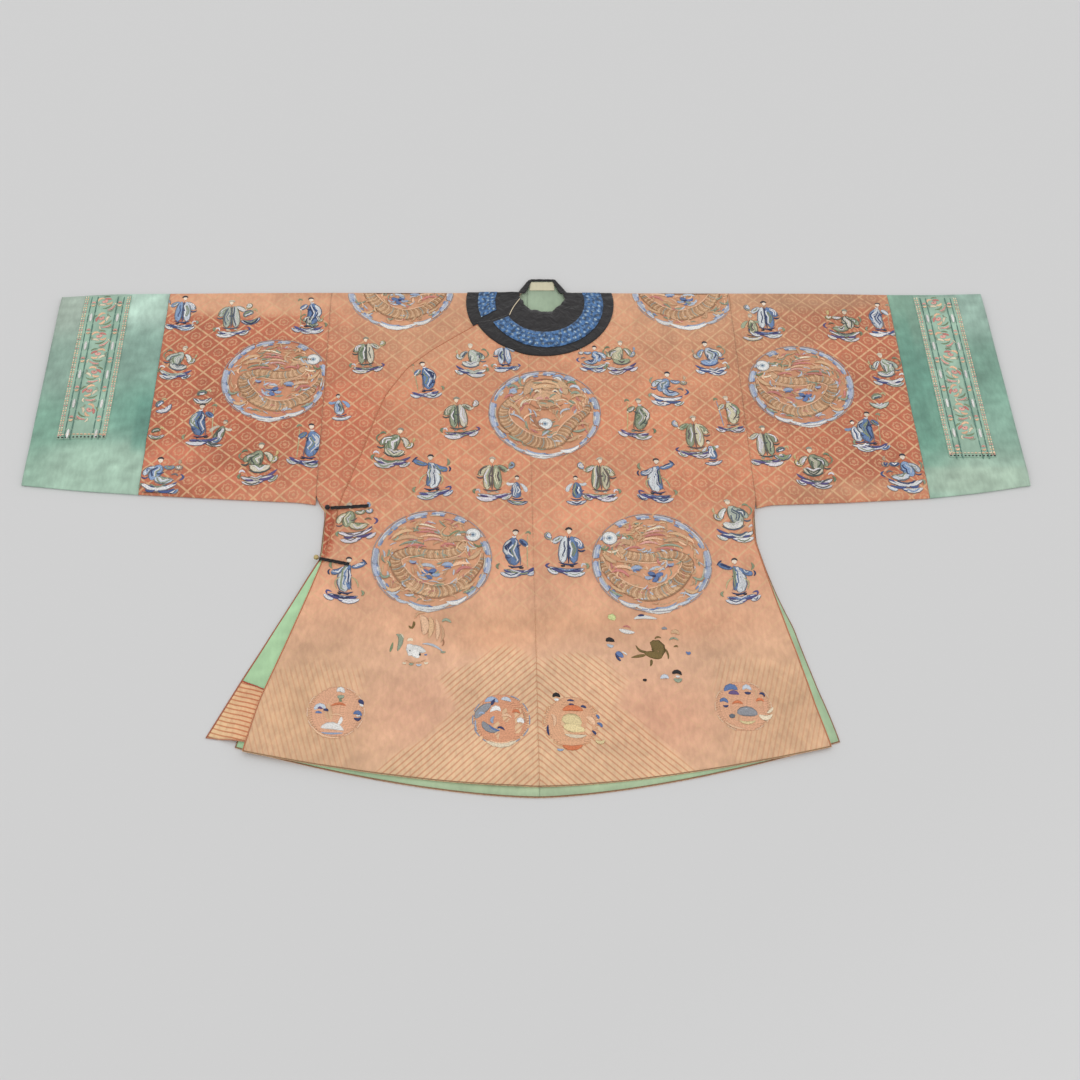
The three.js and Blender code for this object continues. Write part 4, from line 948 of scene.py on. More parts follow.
CURL_ROUND = [
    (-38, 2, -29, 16, -14, 27, 7, 14, 8, "grey"), (-24, 30, -14, 35, -4, 29, 5, 9, "sky"),
    (-27, -2, -20, -14, -6, -20, 7, 11, 6, "grey"), (-16, 13, -8, 20, -1, 14, 4, 9, "white"),
    (-18, -8, -12, -16, -2, -18, 3, 5, "blue"), (-6, -15, -1, -13, 5, -18, 2, 4, "navy"),
    (0, 34, 8, 35, 15, 30, 4, 7, 3, "mist"), (-14, 24, -12, 30, -8, 36, 3, 5, "navy"),
    (-34, 8, -30, 12, -24, 10, 2, 4, "sky"), (-10, 6, -14, 0, -12, -6, 3, 5, "sky"),
    (24, -5, 28, -1, 33, -6, 5, 10, "white"), (26, -6, 28, -6, 31, -6, 2, 4, "tan"),
    (-24, -34, 0, -43, 23, -34, 4, 8, "cream"), (-20, -32, 0, -39, 20, -32, 1.4, 2.4, "peach"),
    (16, 12, 22, 15, 28, 10, 2, 5, "ember"), (0, 4, 8, 8, 16, 2, 2, 5, "peach"),
    (30, 16, 35, 6, 35, -6, 1.4, 2.4, "tan"), (-36, -18, -38, -10, -38, 0, 1.4, 2.4, "sky"),
]
BLOB_ROUND = [
    (-14, 4, 2, 4, 14, -6, 14, 22, 12, "straw"), (-12, -6, 4, -10, 20, -14, 10, 16, 8, "straw"),
    (-26, 42, -21, 47, -15, 42, 4, 7, "black"), (-24, 39, -20, 38, -17, 39, 3, 5, "white"),
    (-5, 36, 0, 37, 6, 35, 2, 3.4, "navy"), (-3, 30, 1, 30, 5, 29, 2, 3, "navy"),
    (15, 26, 19, 26, 23, 23, 3, 4, "navy"), (-34, -4, -35, -13, -33, -22, 2, 3.4, "navy"),
    (37, 12, 40, 9, 41, 5, 3, 4, "blue"), (38, -2, 43, -4, 45, -9, 3, 5, "blue"),
    (30, -14, 34, -18, 36, -22, 2, 4, "navy"), (-12, 20, 2, 24, 18, 19, 6, 10, "ember"),
    (-14, -38, 0, -43, 16, -38, 5, 8, "ember"), (22, 8, 30, 4, 34, -6, 4, 8, "peach"),
    (-30, 14, -24, 6, -26, -8, 3, 6, "peach"), (-22, -44, -18, -46, -12, -45, 2, 4, "sky"),
    (-10, -20, 6, -24, 22, -22, 3, 6, "cream"), (34, -30, 42, -34, 48, -30, 3, 6, "straw"),
]
GOURD_ROUND = [
    (-26, 26, -16, 34, -6, 28, 6, 11, "blue"), (-20, 22, -12, 24, -4, 20, 4, 8, "plum"),
    (-24, 30, -19, 32, -14, 30, 2, 4, "white"), (2, 28, 8, 34, 15, 27, 4, 8, "mist"),
    (4, 24, 9, 22, 14, 23, 2, 5, "navy"), (-34, 8, -28, 12, -22, 6, 3, 7, "blue"),
    (-30, 2, -26, 0, -22, 2, 2, 4, "navy"), (-10, -12, 4, -8, 20, -14, 10, 17, 11, "grey"),
    (-4, -7, 4, -4, 12, -8, 2, 4, "mist"), (-14, -14, -18, -16, -22, -14, 4, 8, 5, "slate"),
    (22, -14, 32, -20, 42, -14, 5, 9, 3, "cream"), (34, -12, 40, -8, 44, -2, 3, 5, 2, "cream"),
    (-8, -24, 4, -28, 16, -24, 3, 5, "straw"), (20, 8, 26, 12, 32, 8, 2, 5, "ember"),
    (-16, 4, -8, 8, 0, 4, 2, 5, "ember"), (26, 20, 31, 22, 34, 16, 2, 4, "navy"),
    (-30, -24, -18, -34, 0, -38, 2, 4, "peach"),
]


def stitched(rows, x, y, size=1.0, turn=0, mirrored=0, seed=1, lift=0.0):
    """Bands of a motif whose rows name their thread."""
    dice = np.random.default_rng(seed)
    rows = whole(rows)
    numbers = np.array([row[:9] for row in rows], dtype=float)
    colours = np.array([THREAD[row[9]] for row in rows], dtype=float)
    colours = colours * dice.uniform(0.94, 1.05, (len(rows), 1))
    return (*placed(*curve(numbers), x, y, size, turn, mirrored), colours, 0.5, lift)


def arcs(x, y, parts, lift=0.2):
    """Bands along circles round a point: radius, angle and reach in degrees, width, colour."""
    parts = np.array(parts, dtype=float)
    t = np.linspace(-1, 1, 15)
    angle = np.radians(parts[:, 1:2] + parts[:, 2:3] * t)
    paths = np.stack([x + parts[:, :1] * np.cos(angle), y + parts[:, :1] * np.sin(angle)], -1)
    widths = parts[:, 3:4] * np.sqrt(1 - 0.97 * t**6)
    return paths, widths, parts[:, 4:7], 0.45, lift


def spine_bands(x, y, size, mirrored, rows):
    """The dragon's long body on a Catmull-Rom curve through its spine, with an outline beside it
    and rows of scales as short arcs across it."""
    rows = np.array(rows, dtype=float)
    padded = np.vstack([2 * rows[0] - rows[1], rows, 2 * rows[-1] - rows[-2]])
    at = np.linspace(0, len(rows) - 1.001, 84)
    k, t = at.astype(int), (at % 1)[:, None]
    a, b, c, d = (padded[k + i] for i in range(4))
    spine = 0.5 * (2 * b + (c - a) * t + (2 * a - 5 * b + 4 * c - d) * t**2
                   + (3 * b - a - 3 * c + d) * t**3)
    path, width = spine[:, :2], np.maximum(spine[:, 2], 1.5)
    ahead = np.gradient(path, axis=0)
    ahead /= np.linalg.norm(ahead, axis=1, keepdims=True)
    beside = np.stack([-ahead[:, 1], ahead[:, 0]], -1)
    inner = path + beside * (width * 0.5 + 0.6)[:, None]
    outer = path - beside * (width * 0.5 + 0.3)[:, None]
    crest = path - beside * (width * 0.28)[:, None]
    lines = [(path, width, "tan", 0.7), (inner, 0 * width + 2.6, "peach", 0.8),
             (outer, 0 * width + 1.4, "bronze", 0.7),
             (crest, 0.28 * width, "gold", 1.0)]
    made = []
    for line, wide, thread, tall in lines:
        made.append((*placed(line[None], wide[None], x, y, size, 0, mirrored),
                     np.array([THREAD[thread]], float), tall, 0.3))
    rank = np.arange(4, 80)
    s = np.array([-1.0, -0.6, -0.2, 0.0, 0.2, 0.6, 1.0])
    reach = (s[None] * 0.42 * width[rank, None])[..., None]
    bow = ((1 - s**2)[None] * 0.12 * width[rank, None])[..., None]
    scales = path[rank, None] + beside[rank, None] * reach + ahead[rank, None] * bow
    shades = np.where((rank % 2 == 0)[:, None], np.array([226.0, 188, 150]), np.array([188.0, 144, 108]))
    shades = np.where((rank % 6 == 0)[:, None], np.array([166.0, 166, 154]), shades)
    made.append((*placed(scales, 0 * reach[..., 0] + 1.9, x, y, size, 0, mirrored), shades, 0.5, 1.0))
    return made


def flames(x, y, size, seed):
    """Small curled scraps of pale and metal thread that fill a roundel round its dragon."""
    dice = np.random.default_rng(seed + 90)
    count = 240
    radius, angle = 80 * np.sqrt(dice.uniform(0.02, 1, count)), dice.uniform(0, 6.283, count)
    turn = angle + np.pi / 2 + dice.normal(0, 0.5, count)
    middle = np.stack([radius * np.cos(angle), radius * np.sin(angle)], -1)
    reach = dice.uniform(4, 9, count)[:, None] * np.stack([np.cos(turn), np.sin(turn)], -1)
    bend = dice.uniform(-4, 4, count)[:, None] * np.stack([-np.sin(turn), np.cos(turn)], -1)
    wide = dice.uniform(1.8, 4.2, (count, 1))
    paths, widths = curve(np.hstack([middle - reach, middle + bend, middle + reach, wide * 0.5, wide,
                                     wide * 0.5]))
    hues = np.array([THREAD[key]
                     for key in ("tan", "gold", "tan", "peach", "sage", "rose", "mist", "gold")], float)
    colours = hues[dice.integers(0, 8, count)] * dice.uniform(0.94, 1.04, (count, 1))
    return [(*placed(paths, widths, x, y, size), colours, 0.3, 0.0)]


def roundel(x, y, size=1.0, mirrored=0, pearl=(65, 47), seed=1, frontal=False):
    """A dragon roundel: ring of cloud scraps, waves below, coiled dragon, bloom and pearl."""
    dice = np.random.default_rng(seed)
    side = -1 if mirrored else 1
    parts = []
    for angle, reach, width in CLOUDS:
        turned = angle if side > 0 else 180 - angle
        lean = dice.uniform(0.94, 1.06)
        parts.append((89 * size, turned, reach * 0.5, width * 0.66 * size,
                      *(np.array((172, 180, 200)) * lean)))
        parts.append(((89 - width * 0.36) * size, turned + 3 * side, reach * 0.42, 2.6 * size, 200, 190,
                      172))
        parts.append(((90 + width * 0.16) * size, turned - 2 * side, reach * 0.42, 2.6 * size, 204, 206,
                      208))
        parts.append(((89 - width * 0.1) * size, turned + 1, reach * 0.3, 1.8 * size, 214, 206, 196))
        for k in (-1, 0, 1):
            parts.append(((86 + 3 * dice.uniform(-1, 1)) * size, turned + k * reach * 0.3,
                          reach * 0.09 + 1.2,
                          3.4 * size, *(np.array((126, 144, 182)) if k else np.array((214, 214, 216)))))
    for start in range(0, 360, 30):
        if dice.uniform() < 0.9:
            parts.append((94.5 * size, start + 10, 14, 1.5 * size, 164, 156, 160))
    made = [arcs(x, y, parts)]
    made += flames(x, y, size, seed)
    made += spine_bands(x, y, size, mirrored, FRONTAL_SPINE if frontal else SPINE)
    made.append(stitched(FRONTAL if frontal else DRAGON, x, y, size, 0, mirrored, seed, 0.5))
    if not frontal:
        made.append(stitched(BLOOM, x, y, size, 0, mirrored, seed, 0.5))
    made.append(stitched(WAVES, x, y, size, 0, mirrored, seed, 0.4))
    px, py = x + side * pearl[0] * size, y + pearl[1] * size
    rings = [(10, 0, 179, 4.0, 226, 226, 222), (7, 0, 179, 4.4, 238, 238, 236),
             (3.4, 0, 179, 3.4, 190, 200, 204),
             (1.4, 0, 179, 2.8, 104, 124, 150), (12.3, 0, 179, 1.3, 150, 150, 152)]
    made += [arcs(px, py, [(r * size, a, b, w * size, *c)], 1.2) for r, a, b, w, *c in rings]
    return made


def small_round(rows, x, y, ring, ground, seed=1):
    """A small roundel: a disc of packed arcs in its ground colour, an edge line and its motif."""
    rows_y = np.arange(-38, 39, 4.0)
    half = np.sqrt(41.0**2 - rows_y**2)
    across = np.stack([-half, rows_y, 0 * half, rows_y + 0.6, half, rows_y, 0 * half + 7, 0 * half + 7,
                       0 * half + 7], -1)
    dice = np.random.default_rng(seed)
    disc = (*placed(*curve(across), x, y, 1.0),
            np.array([ground], float) * dice.uniform(0.98, 1.02, (len(half), 1)), 0.05, -0.02)
    edge = [(42, a, 11, 1.7, *ring) for a in range(0, 360, 30) if dice.uniform() < 0.8]
    return [disc, arcs(x, y, edge), stitched(rows, x, y, 1.0, 0, 0, seed)]


def embroidery(name, shapes, level, materials, limits=(-9e3, 9e3, -9e3, 9e3), slot="silk", within=None):
    """Satin-stitched bands on a cloth. Across a band the height is lift + crown * sqrt(1 - s^2),
    with s from -1 to 1; its ends close with quads. Bands past the limits are left out or cut, and
    within brings the points that pass the cloth's edge back onto it."""
    points, quads, uvs, tints, kinds = [], [], [], [], []
    total = 0
    left, right, low, high = limits
    s = np.array([-1.0, -0.55, 0.0, 0.55, 1.0, 0.0])
    crown = np.array([0.0, 0.75, 1.0, 0.75, 0.0, -1.0])
    for paths, widths, colours, tall, lift in shapes:
        middle = paths.mean(axis=1)
        inside = (middle > (left, low)).all(axis=1) & (middle < (right, high)).all(axis=1)
        paths, widths, colours = paths[inside], widths[inside], colours[inside]
        if not len(paths):
            continue
        count, stations = widths.shape
        flat = paths[:, :, None] + beside(paths)[:, :, None] * (widths[:, :, None, None] / 2 * s[:, None])
        flat[..., 0] = np.clip(flat[..., 0], left, right)
        flat[..., 1] = np.clip(flat[..., 1], low, high)
        rank = (np.arange(count) % 40 * (0.035 if tall > 0.1 else 0.0))[:, None, None]
        arch = crown * tall * np.minimum(widths[..., None] / 5, 1)
        rise = np.where(crown < 0, -0.3, 0.04 + lift + rank + arch)
        x, y = within(flat[..., 0], flat[..., 1]) if within else (flat[..., 0], flat[..., 1])
        z = level(x.ravel(), y.ravel()).reshape(x.shape) + CLOTH / 2 + rise
        points.append(np.stack([x, y, z], -1).reshape(-1, 3))
        along = np.cumsum(np.linalg.norm(np.diff(paths, axis=1), axis=2), 1)
        run = np.concatenate([np.zeros((count, 1)), along], 1)
        u = np.broadcast_to(run[..., None], x.shape)
        # v moves on from band to band, so that each band takes its own painted sheen in the thread material.
        v = widths[..., None] / 2 * s + 37.0 * rank
        uvs.append(np.stack([u, v], -1).reshape(-1, 2))
        tints.append(np.broadcast_to(colours[:, None, None], (count, stations, 6, 3)).reshape(-1, 3))
        ring = stations * 6
        one = lattice_quads(stations, 6, True)
        caps = np.array([[3, 2, 1, 0], [5, 4, 3, 0]])
        one = np.concatenate([one, caps, caps[:, ::-1] + ring - 6])
        quads.append((one[None] + (total + ring * np.arange(count))[:, None, None]).reshape(-1, 4))
        metal = (colours[:, 0] > 1.18 * colours[:, 2]) & (colours[:, 0] < 225) & (tall > 0.46)
        kinds.append(np.repeat(metal, len(one)))
        total += count * ring
    quads = np.concatenate(quads)[:, ::-1]
    layers = {"Tint": linear(np.concatenate(tints))}
    return piece(name, np.concatenate(points), quads, materials, np.concatenate(uvs), layers, slot,
                 np.concatenate(kinds))


# ---------------------------------------------------------------- materials
def add(tree, kind, inputs=None, **settings):
    """A node with its settings, each named input linked to a socket or set to a value."""
    made = tree.nodes.new(kind)
    for key, value in settings.items():
        setattr(made, key, value)
    for key, value in (inputs or {}).items():
        if isinstance(value, bpy.types.NodeSocket):
            tree.links.new(value, made.inputs[key])
        else:
            made.inputs[key].default_value = value
    return made


def calc(tree, operation, *values):
    """A math node's value."""
    return add(tree, "ShaderNodeMath", dict(enumerate(values)), operation=operation).outputs[0]


def times(tree, *values):
    """The product of the values."""
    made = values[0]
    for value in values[1:]:
        made = calc(tree, "MULTIPLY", made, value)
    return made


def plus(tree, *values):
    """The sum of the values."""
    made = values[0]
    for value in values[1:]:
        made = calc(tree, "ADD", made, value)
    return made


def minus(tree, a, b):
    """a less b."""
    return calc(tree, "SUBTRACT", a, b)


def paint(red, green, blue):
    """A colour of 0 to 255 as a colour socket takes it."""
    return (*linear((red, green, blue)), 1.0)


def between(tree, factor, a, b):
    """Colour a where the factor is 0 and colour b where it is 1."""
    made = add(tree, "ShaderNodeMix", {0: factor, 6: a, 7: b}, data_type="RGBA")
    return made.outputs[2]


def span(tree, value, low, high, start=0.0, end=1.0):
    """A value from low to high drawn out from start to end, with eased ends."""
    inputs = {"Value": value, "From Min": low, "From Max": high, "To Min": start, "To Max": end}
    return add(tree, "ShaderNodeMapRange", inputs, interpolation_type="SMOOTHSTEP").outputs[0]


def group(name, inputs, outputs):
    """An empty shader group with named sockets, and its input and output nodes."""
    tree = bpy.data.node_groups.new(name, "ShaderNodeTree")
    for key, value in inputs.items():
        kind = "NodeSocketVector" if value is None else "NodeSocketFloat"
        made = tree.interface.new_socket(name=key, in_out="INPUT", socket_type=kind)
        if value is not None:
            made.default_value = value
    for key in outputs:
        tree.interface.new_socket(name=key, in_out="OUTPUT", socket_type="NodeSocketFloat")
    return tree, tree.nodes.new("NodeGroupInput"), tree.nodes.new("NodeGroupOutput")


def use(tree, source, **inputs):
    """A shader group's node with its inputs linked or set."""
    made = tree.nodes.new("ShaderNodeGroup")
    made.node_tree = source
    for key, value in inputs.items():
        if isinstance(value, bpy.types.NodeSocket):
            tree.links.new(value, made.inputs[key])
        else:
            made.inputs[key].default_value = value
    return made


def figured_group():
    """A woven lattice: lines where |fract(u + v) - 1/2| or |fract(u - v) - 1/2| is near 1/2, with a
    round flower in each cell, from its distance and angle about the middle of the cell."""
    tree, start, end = group("Figured Lattice", {"UV": None, "Pitch": 0.043}, ["Lines", "Flower"])
    split = add(tree, "ShaderNodeSeparateXYZ", {0: start.outputs["UV"]})
    u = calc(tree, "DIVIDE", split.outputs[0], start.outputs["Pitch"])
    v = calc(tree, "DIVIDE", split.outputs[1], start.outputs["Pitch"])
    p = minus(tree, calc(tree, "FRACT", plus(tree, u, v)), 0.5)
    q = minus(tree, calc(tree, "FRACT", minus(tree, u, v)), 0.5)
    near = calc(tree, "MAXIMUM", calc(tree, "ABSOLUTE", p), calc(tree, "ABSOLUTE", q))
    lines = span(tree, near, 0.43, 0.47)
    far = calc(tree, "SQRT", plus(tree, times(tree, p, p), times(tree, q, q)))
    petals = calc(tree, "COSINE", times(tree, calc(tree, "ARCTAN2", p, q), 8.0))
    wavy = minus(tree, far, times(tree, petals, 0.025))
    ring = span(tree, calc(tree, "ABSOLUTE", minus(tree, wavy, 0.25)), 0.06, 0.02)
    heart = span(tree, wavy, 0.12, 0.07)
    tree.links.new(lines, end.inputs["Lines"])
    tree.links.new(calc(tree, "MAXIMUM", ring, heart), end.inputs["Flower"])
    return tree


def mottle_group():
    """Uneven age and weave: soft patches, small flecks and slubs drawn out along the warp;
    and a rumple of small wrinkles, which the figured silk also paints as light and shade.
    """
    tree, start, end = group("Aged Weave", {"UV": None, "Patch": 9.0, "Fleck": 160.0},
                             ["Patches", "Flecks", "Rumple"])
    soft = add(tree, "ShaderNodeTexNoise",
               {"Vector": start.outputs["UV"], "Scale": start.outputs["Patch"], "Detail": 3.0})
    stretch = add(tree, "ShaderNodeMapping", {"Vector": start.outputs["UV"], "Scale": (1.0, 0.4, 1.0)})
    fine = add(tree, "ShaderNodeTexNoise",
               {"Vector": stretch.outputs[0], "Scale": start.outputs["Fleck"], "Detail": 2.0})
    fold = add(tree, "ShaderNodeTexNoise",
               {"Vector": start.outputs["UV"], "Scale": 42.0, "Detail": 3.0, "Distortion": 0.6})
    tree.links.new(soft.outputs[0], end.inputs["Patches"])
    tree.links.new(fine.outputs[0], end.inputs["Flecks"])
    tree.links.new(fold.outputs[0], end.inputs["Rumple"])
    return tree


def thread_group():
    """Satin stitch: fine ridges across each band and a painted sheen that grows lighter and darker slowly from band to
    band.
    """
    tree, start, end = group("Stitch", {"UV": None, "Pitch": 0.0006}, ["Ridge", "Ply"])
    split = add(tree, "ShaderNodeSeparateXYZ", {0: start.outputs["UV"]})
    turn = times(tree, calc(tree, "DIVIDE", split.outputs[0], start.outputs["Pitch"]), 6.283)
    painted_sheen = add(tree, "ShaderNodeTexNoise", {"Vector": start.outputs["UV"], "Scale": 420.0, "Detail": 1.0})
    tree.links.new(calc(tree, "SINE", turn), end.inputs["Ridge"])
    tree.links.new(painted_sheen.outputs[0], end.inputs["Ply"])
    return tree


FIGURED, MOTTLE, STITCH = figured_group(), mottle_group(), thread_group()


def material(name, roughness=0.7, sheen=0.0, metallic=0.0, specular=0.3):
    """A material with its shader's own values set, and its tree, shader and UV socket."""
    made = bpy.data.materials.new(name)
    made.use_nodes = True
    tree = made.node_tree
    shader = tree.nodes["Principled BSDF"]
    shader.inputs["Roughness"].default_value = roughness
    shader.inputs["Metallic"].default_value = metallic
    shader.inputs["Specular IOR Level"].default_value = specular
    shader.inputs["Sheen Weight"].default_value = sheen
    shader.inputs["Sheen Roughness"].default_value = 0.5
    uv = add(tree, "ShaderNodeUVMap", uv_map="Flat").outputs[0]
    return made, tree, shader, uv


def tint_of(tree, layer="Tint"):
    """The colour that the points carry."""
    return add(tree, "ShaderNodeAttribute", attribute_name=layer,
               attribute_type="GEOMETRY").outputs["Color"]


def raise_it(tree, shader, height, distance, strength=1.0):
    """A height that the surface's normals follow, over a distance in metres."""
    inputs = {"Height": height, "Distance": distance, "Strength": strength}
    tree.links.new(add(tree, "ShaderNodeBump", inputs).outputs[0], shader.inputs["Normal"])


def shade(tree, colour, value, low, high, dark, bright):
    """Colour times a factor that runs from dark to bright with a value."""
    factor = span(tree, value, low, high, dark, bright)
    made = add(tree, "ShaderNodeVectorMath", {0: colour, "Scale": factor}, operation="SCALE")
    return made.outputs[0]


def mottled(tree, uv, **settings):
    """The patches, flecks and rumple of aged cloth."""
    return use(tree, MOTTLE, UV=uv, **settings).outputs[:3]


def silk_material():
    """Figured silk: the lattice and its flowers show where the points' pattern is clear, the hem
    stripes where its mask is, and both fade with wear."""
    made, tree, shader, uv = material("Figured silk", roughness=0.62, sheen=0.12, specular=0.28)
    figured = use(tree, FIGURED, UV=uv, Pitch=0.043)
    patches, flecks, rumpled = mottled(tree, uv)
    parts = add(tree, "ShaderNodeSeparateXYZ", {0: tint_of(tree, "Pattern")})
    clear, phase, mask = parts.outputs[0], parts.outputs[1], parts.outputs[2]
    base = tint_of(tree)
    broken = span(tree, flecks, 0.3, 0.5, 0.25, 1.0)
    lines = times(tree, figured.outputs["Lines"], clear, broken)
    flower = times(tree, figured.outputs["Flower"], clear, broken)
    light = paint(218, 178, 136)
    base = between(tree, times(tree, lines, 0.85), base, light)
    base = between(tree, times(tree, flower, 0.55), base, light)
    swing = calc(tree, "PINGPONG", phase, 0.5)
    stripe = span(tree, swing, 0.07, 0.2)
    striped = times(tree, stripe, mask, span(tree, flecks, 0.2, 0.5, 0.5, 1.0))
    base = between(tree, times(tree, striped, 0.42), base, paint(236, 206, 160))
    gap = times(tree, minus(tree, 1.0, stripe), mask)
    base = between(tree, times(tree, gap, 0.5), base, paint(200, 122, 82))
    base = shade(tree, base, patches, 0.3, 0.7, 0.93, 1.06)
    base = shade(tree, base, flecks, 0.3, 0.7, 0.93, 1.05)
    # Painted light and shade of the wrinkles: lighter on the rumple's rises and darker in its hollows, which the bump
    # below raises and lowers.
    base = shade(tree, base, rumpled, 0.3, 0.7, 0.95, 1.05)
    tree.links.new(base, shader.inputs["Base Color"])
    woven = times(tree, plus(tree, lines, flower), 0.14)
    tall = plus(tree, times(tree, rumpled, 2.6), woven, times(tree, striped, 0.3), times(tree, flecks, 0.3))
    raise_it(tree, shader, tall, 0.0011)
    return made


def plain_material(name, colour=None, roughness=0.75, sheen=0.1, rumple=1.4, specular=0.25, spread=0.05):
    """A plain woven cloth in one colour, or in the colours of its points."""
    made, tree, shader, uv = material(name, roughness, sheen, specular=specular)
    patches, flecks, rumpled = mottled(tree, uv)
    if colour is None:
        base = tint_of(tree)
    else:
        base = add(tree, "ShaderNodeRGB").outputs[0]
        base.default_value = paint(*colour)
    base = shade(tree, base, patches, 0.3, 0.7, 1 - spread, 1 + spread)
    base = shade(tree, base, flecks, 0.3, 0.7, 1 - 0.7 * spread, 1 + 0.7 * spread)
    tree.links.new(base, shader.inputs["Base Color"])
    tall = plus(tree, times(tree, rumpled, rumple), times(tree, flecks, 0.3))
    raise_it(tree, shader, tall, 0.001)
    return made


def ribbon_material():
    """A blue woven ribbon with rows of pale flowers."""
    made, tree, shader, uv = material("Ribbon", roughness=0.6, sheen=0.1)
    patches, flecks, rumpled = mottled(tree, uv, Patch=150.0, Fleck=330.0)
    split = add(tree, "ShaderNodeSeparateXYZ", {0: uv})
    row = calc(tree, "DIVIDE", split.outputs[1], 0.0085)
    shifted = plus(tree, calc(tree, "DIVIDE", split.outputs[0], 0.0105),
                   times(tree, calc(tree, "FLOOR", row), 0.5))
    p = minus(tree, calc(tree, "FRACT", shifted), 0.5)
    q = minus(tree, calc(tree, "FRACT", row), 0.5)
    far = calc(tree, "SQRT", plus(tree, times(tree, p, p), times(tree, q, q)))
    dots = times(tree, span(tree, far, 0.4, 0.16), span(tree, flecks, 0.42, 0.6))
    base = add(tree, "ShaderNodeRGB").outputs[0]
    base.default_value = paint(66, 104, 150)
    base = between(tree, times(tree, dots, 0.75), base, paint(178, 196, 200))
    base = shade(tree, base, patches, 0.36, 0.62, 0.4, 1.4)
    tree.links.new(base, shader.inputs["Base Color"])
    raise_it(tree, shader, plus(tree, dots, times(tree, rumpled, 2.0)), 0.0006)
    return made


def thread_material(name, roughness, metallic, specular):
    """Stitched thread in the colours of its points times a painted sheen, with a ridge for each stitch."""
    made, tree, shader, uv = material(name, roughness, 0.0, metallic, specular)
    stitch = use(tree, STITCH, UV=uv)
    # Painted sheen: the thread's colour grows lighter and darker slowly from band to band.
    base = shade(tree, tint_of(tree), stitch.outputs["Ply"], 0.3, 0.7, 0.84, 1.1)
    tree.links.new(base, shader.inputs["Base Color"])
    raise_it(tree, shader, stitch.outputs["Ridge"], 0.00008, 0.6)
    return made


def brass_material():
    """Worn brass, dull and darker in spots."""
    made = bpy.data.materials.new("Worn brass")
    made.use_nodes = True
    tree = made.node_tree
    shader = tree.nodes["Principled BSDF"]
    where = add(tree, "ShaderNodeTexCoord").outputs["Object"]
    spots = add(tree, "ShaderNodeTexNoise", {"Vector": where, "Scale": 600.0, "Detail": 3.0}).outputs[0]
    base = between(tree, span(tree, spots, 0.4, 0.65), paint(206, 186, 130), paint(150, 132, 92))
    tree.links.new(base, shader.inputs["Base Color"])
    tree.links.new(span(tree, spots, 0.3, 0.7, 0.3, 0.6), shader.inputs["Roughness"])
    shader.inputs["Metallic"].default_value = 0.8
    return made


silk = silk_material()
cuff_silk = plain_material("Cuff silk", roughness=0.55, sheen=0.15, rumple=2.2, spread=0.09)
lining = plain_material("Lining", roughness=0.7, rumple=1.0)
satin = plain_material("Black satin", (25, 22, 24), roughness=0.48, sheen=0.15, rumple=6.0, specular=0.35,
                       spread=0.3)
label_cloth = plain_material("Label cloth", (212, 205, 176), rumple=0.6)
cord_cloth = plain_material("Cord", (222, 206, 178), rumple=0.3)
band_silk = plain_material("Band silk", rumple=1.2, spread=0.08)
ribbon = ribbon_material()
threads = [thread_material("Silk thread", 0.55, 0.0, 0.35), thread_material("Gold thread", 0.5, 0.12, 0.4)]
brass = brass_material()

# ---------------------------------------------------------------- cloth
inner_left, inner_under = beside_neck(1, -0.8), beside_neck(-1, -34)
BACKS = [("left", BACK_LEFT_EDGE, 1), ("right", BACK_RIGHT_EDGE, -1)]
for name, edge, side in BACKS:
    back_panel(f"back_{name}", edge, side, BACK, 0, materials=[silk], dye=silk_dye)
for name, edge, side in BACKS:
    back_panel(f"back_lining_{name}", edge, side, LINING, 2, materials=[lining], dye=LINING_DYE,
               slot="lining")
front_panel("under_front", UNDER_EDGE, inner_under, flap_level, SHOULDER - FOLD, FLAP_TOP, True,
            held="folded", rests_on=["back_lining_right"], materials=[silk], dye=silk_dye)
front_panel("front_left", FRONT_LEFT_EDGE, inner_left, front_level, SHOULDER - FOLD, HEM_FRONT, True,
            held="folded", rests_on=["back_lining_left"], materials=[silk], dye=silk_dye)
front_panel("front_overlap", OVERLAP_EDGE, lambda y: 0 * y, front_level, -58, HEM_FRONT, False,
            rests_on=["under_front", "underlap_plain", "underlap_border"], materials=[silk], dye=silk_dye)
plain_flap, border_flap = flap_grid(0, 0.998, 0.024), flap_grid(1.002, 2, 0.07)
cloth("underlap_plain", plain_flap, plain_flap[..., :2], [lining], rests_on=["back_lining_right"],
      dye=LINING_DYE, slot="lining")
cloth("underlap_border", border_flap, border_flap[..., :2], [silk], rests_on=["back_lining_right"],
      dye=border_dye)
SLEEVES = [("sleeve_right", SLEEVE_RIGHT, SEAM_RIGHT - GAP, CUFF_RIGHT + GAP, silk, silk_dye, "silk"),
           ("sleeve_left", SLEEVE_LEFT, SEAM_LEFT + GAP, CUFF_LEFT - GAP, silk, silk_dye, "silk"),
           ("cuff_right", SLEEVE_RIGHT, CUFF_RIGHT, -827, cuff_silk, CUFF_DYE_RIGHT, "cuff_silk"),
           ("cuff_left", SLEEVE_LEFT, CUFF_LEFT, 826, cuff_silk, CUFF_DYE_LEFT, "cuff_silk")]
for name, table, start, end, stuff, colours, kind in SLEEVES:
    sleeve(name, table, start, end, materials=[stuff], dye=colours, slot=kind, held="folded")

# ---------------------------------------------------------------- collar, label and closings
ON_TOP, REST, COLLAR_TOP = CLOTH / 2 + GAP, CLOTH / 2 + GAP + 0.2, 3.0


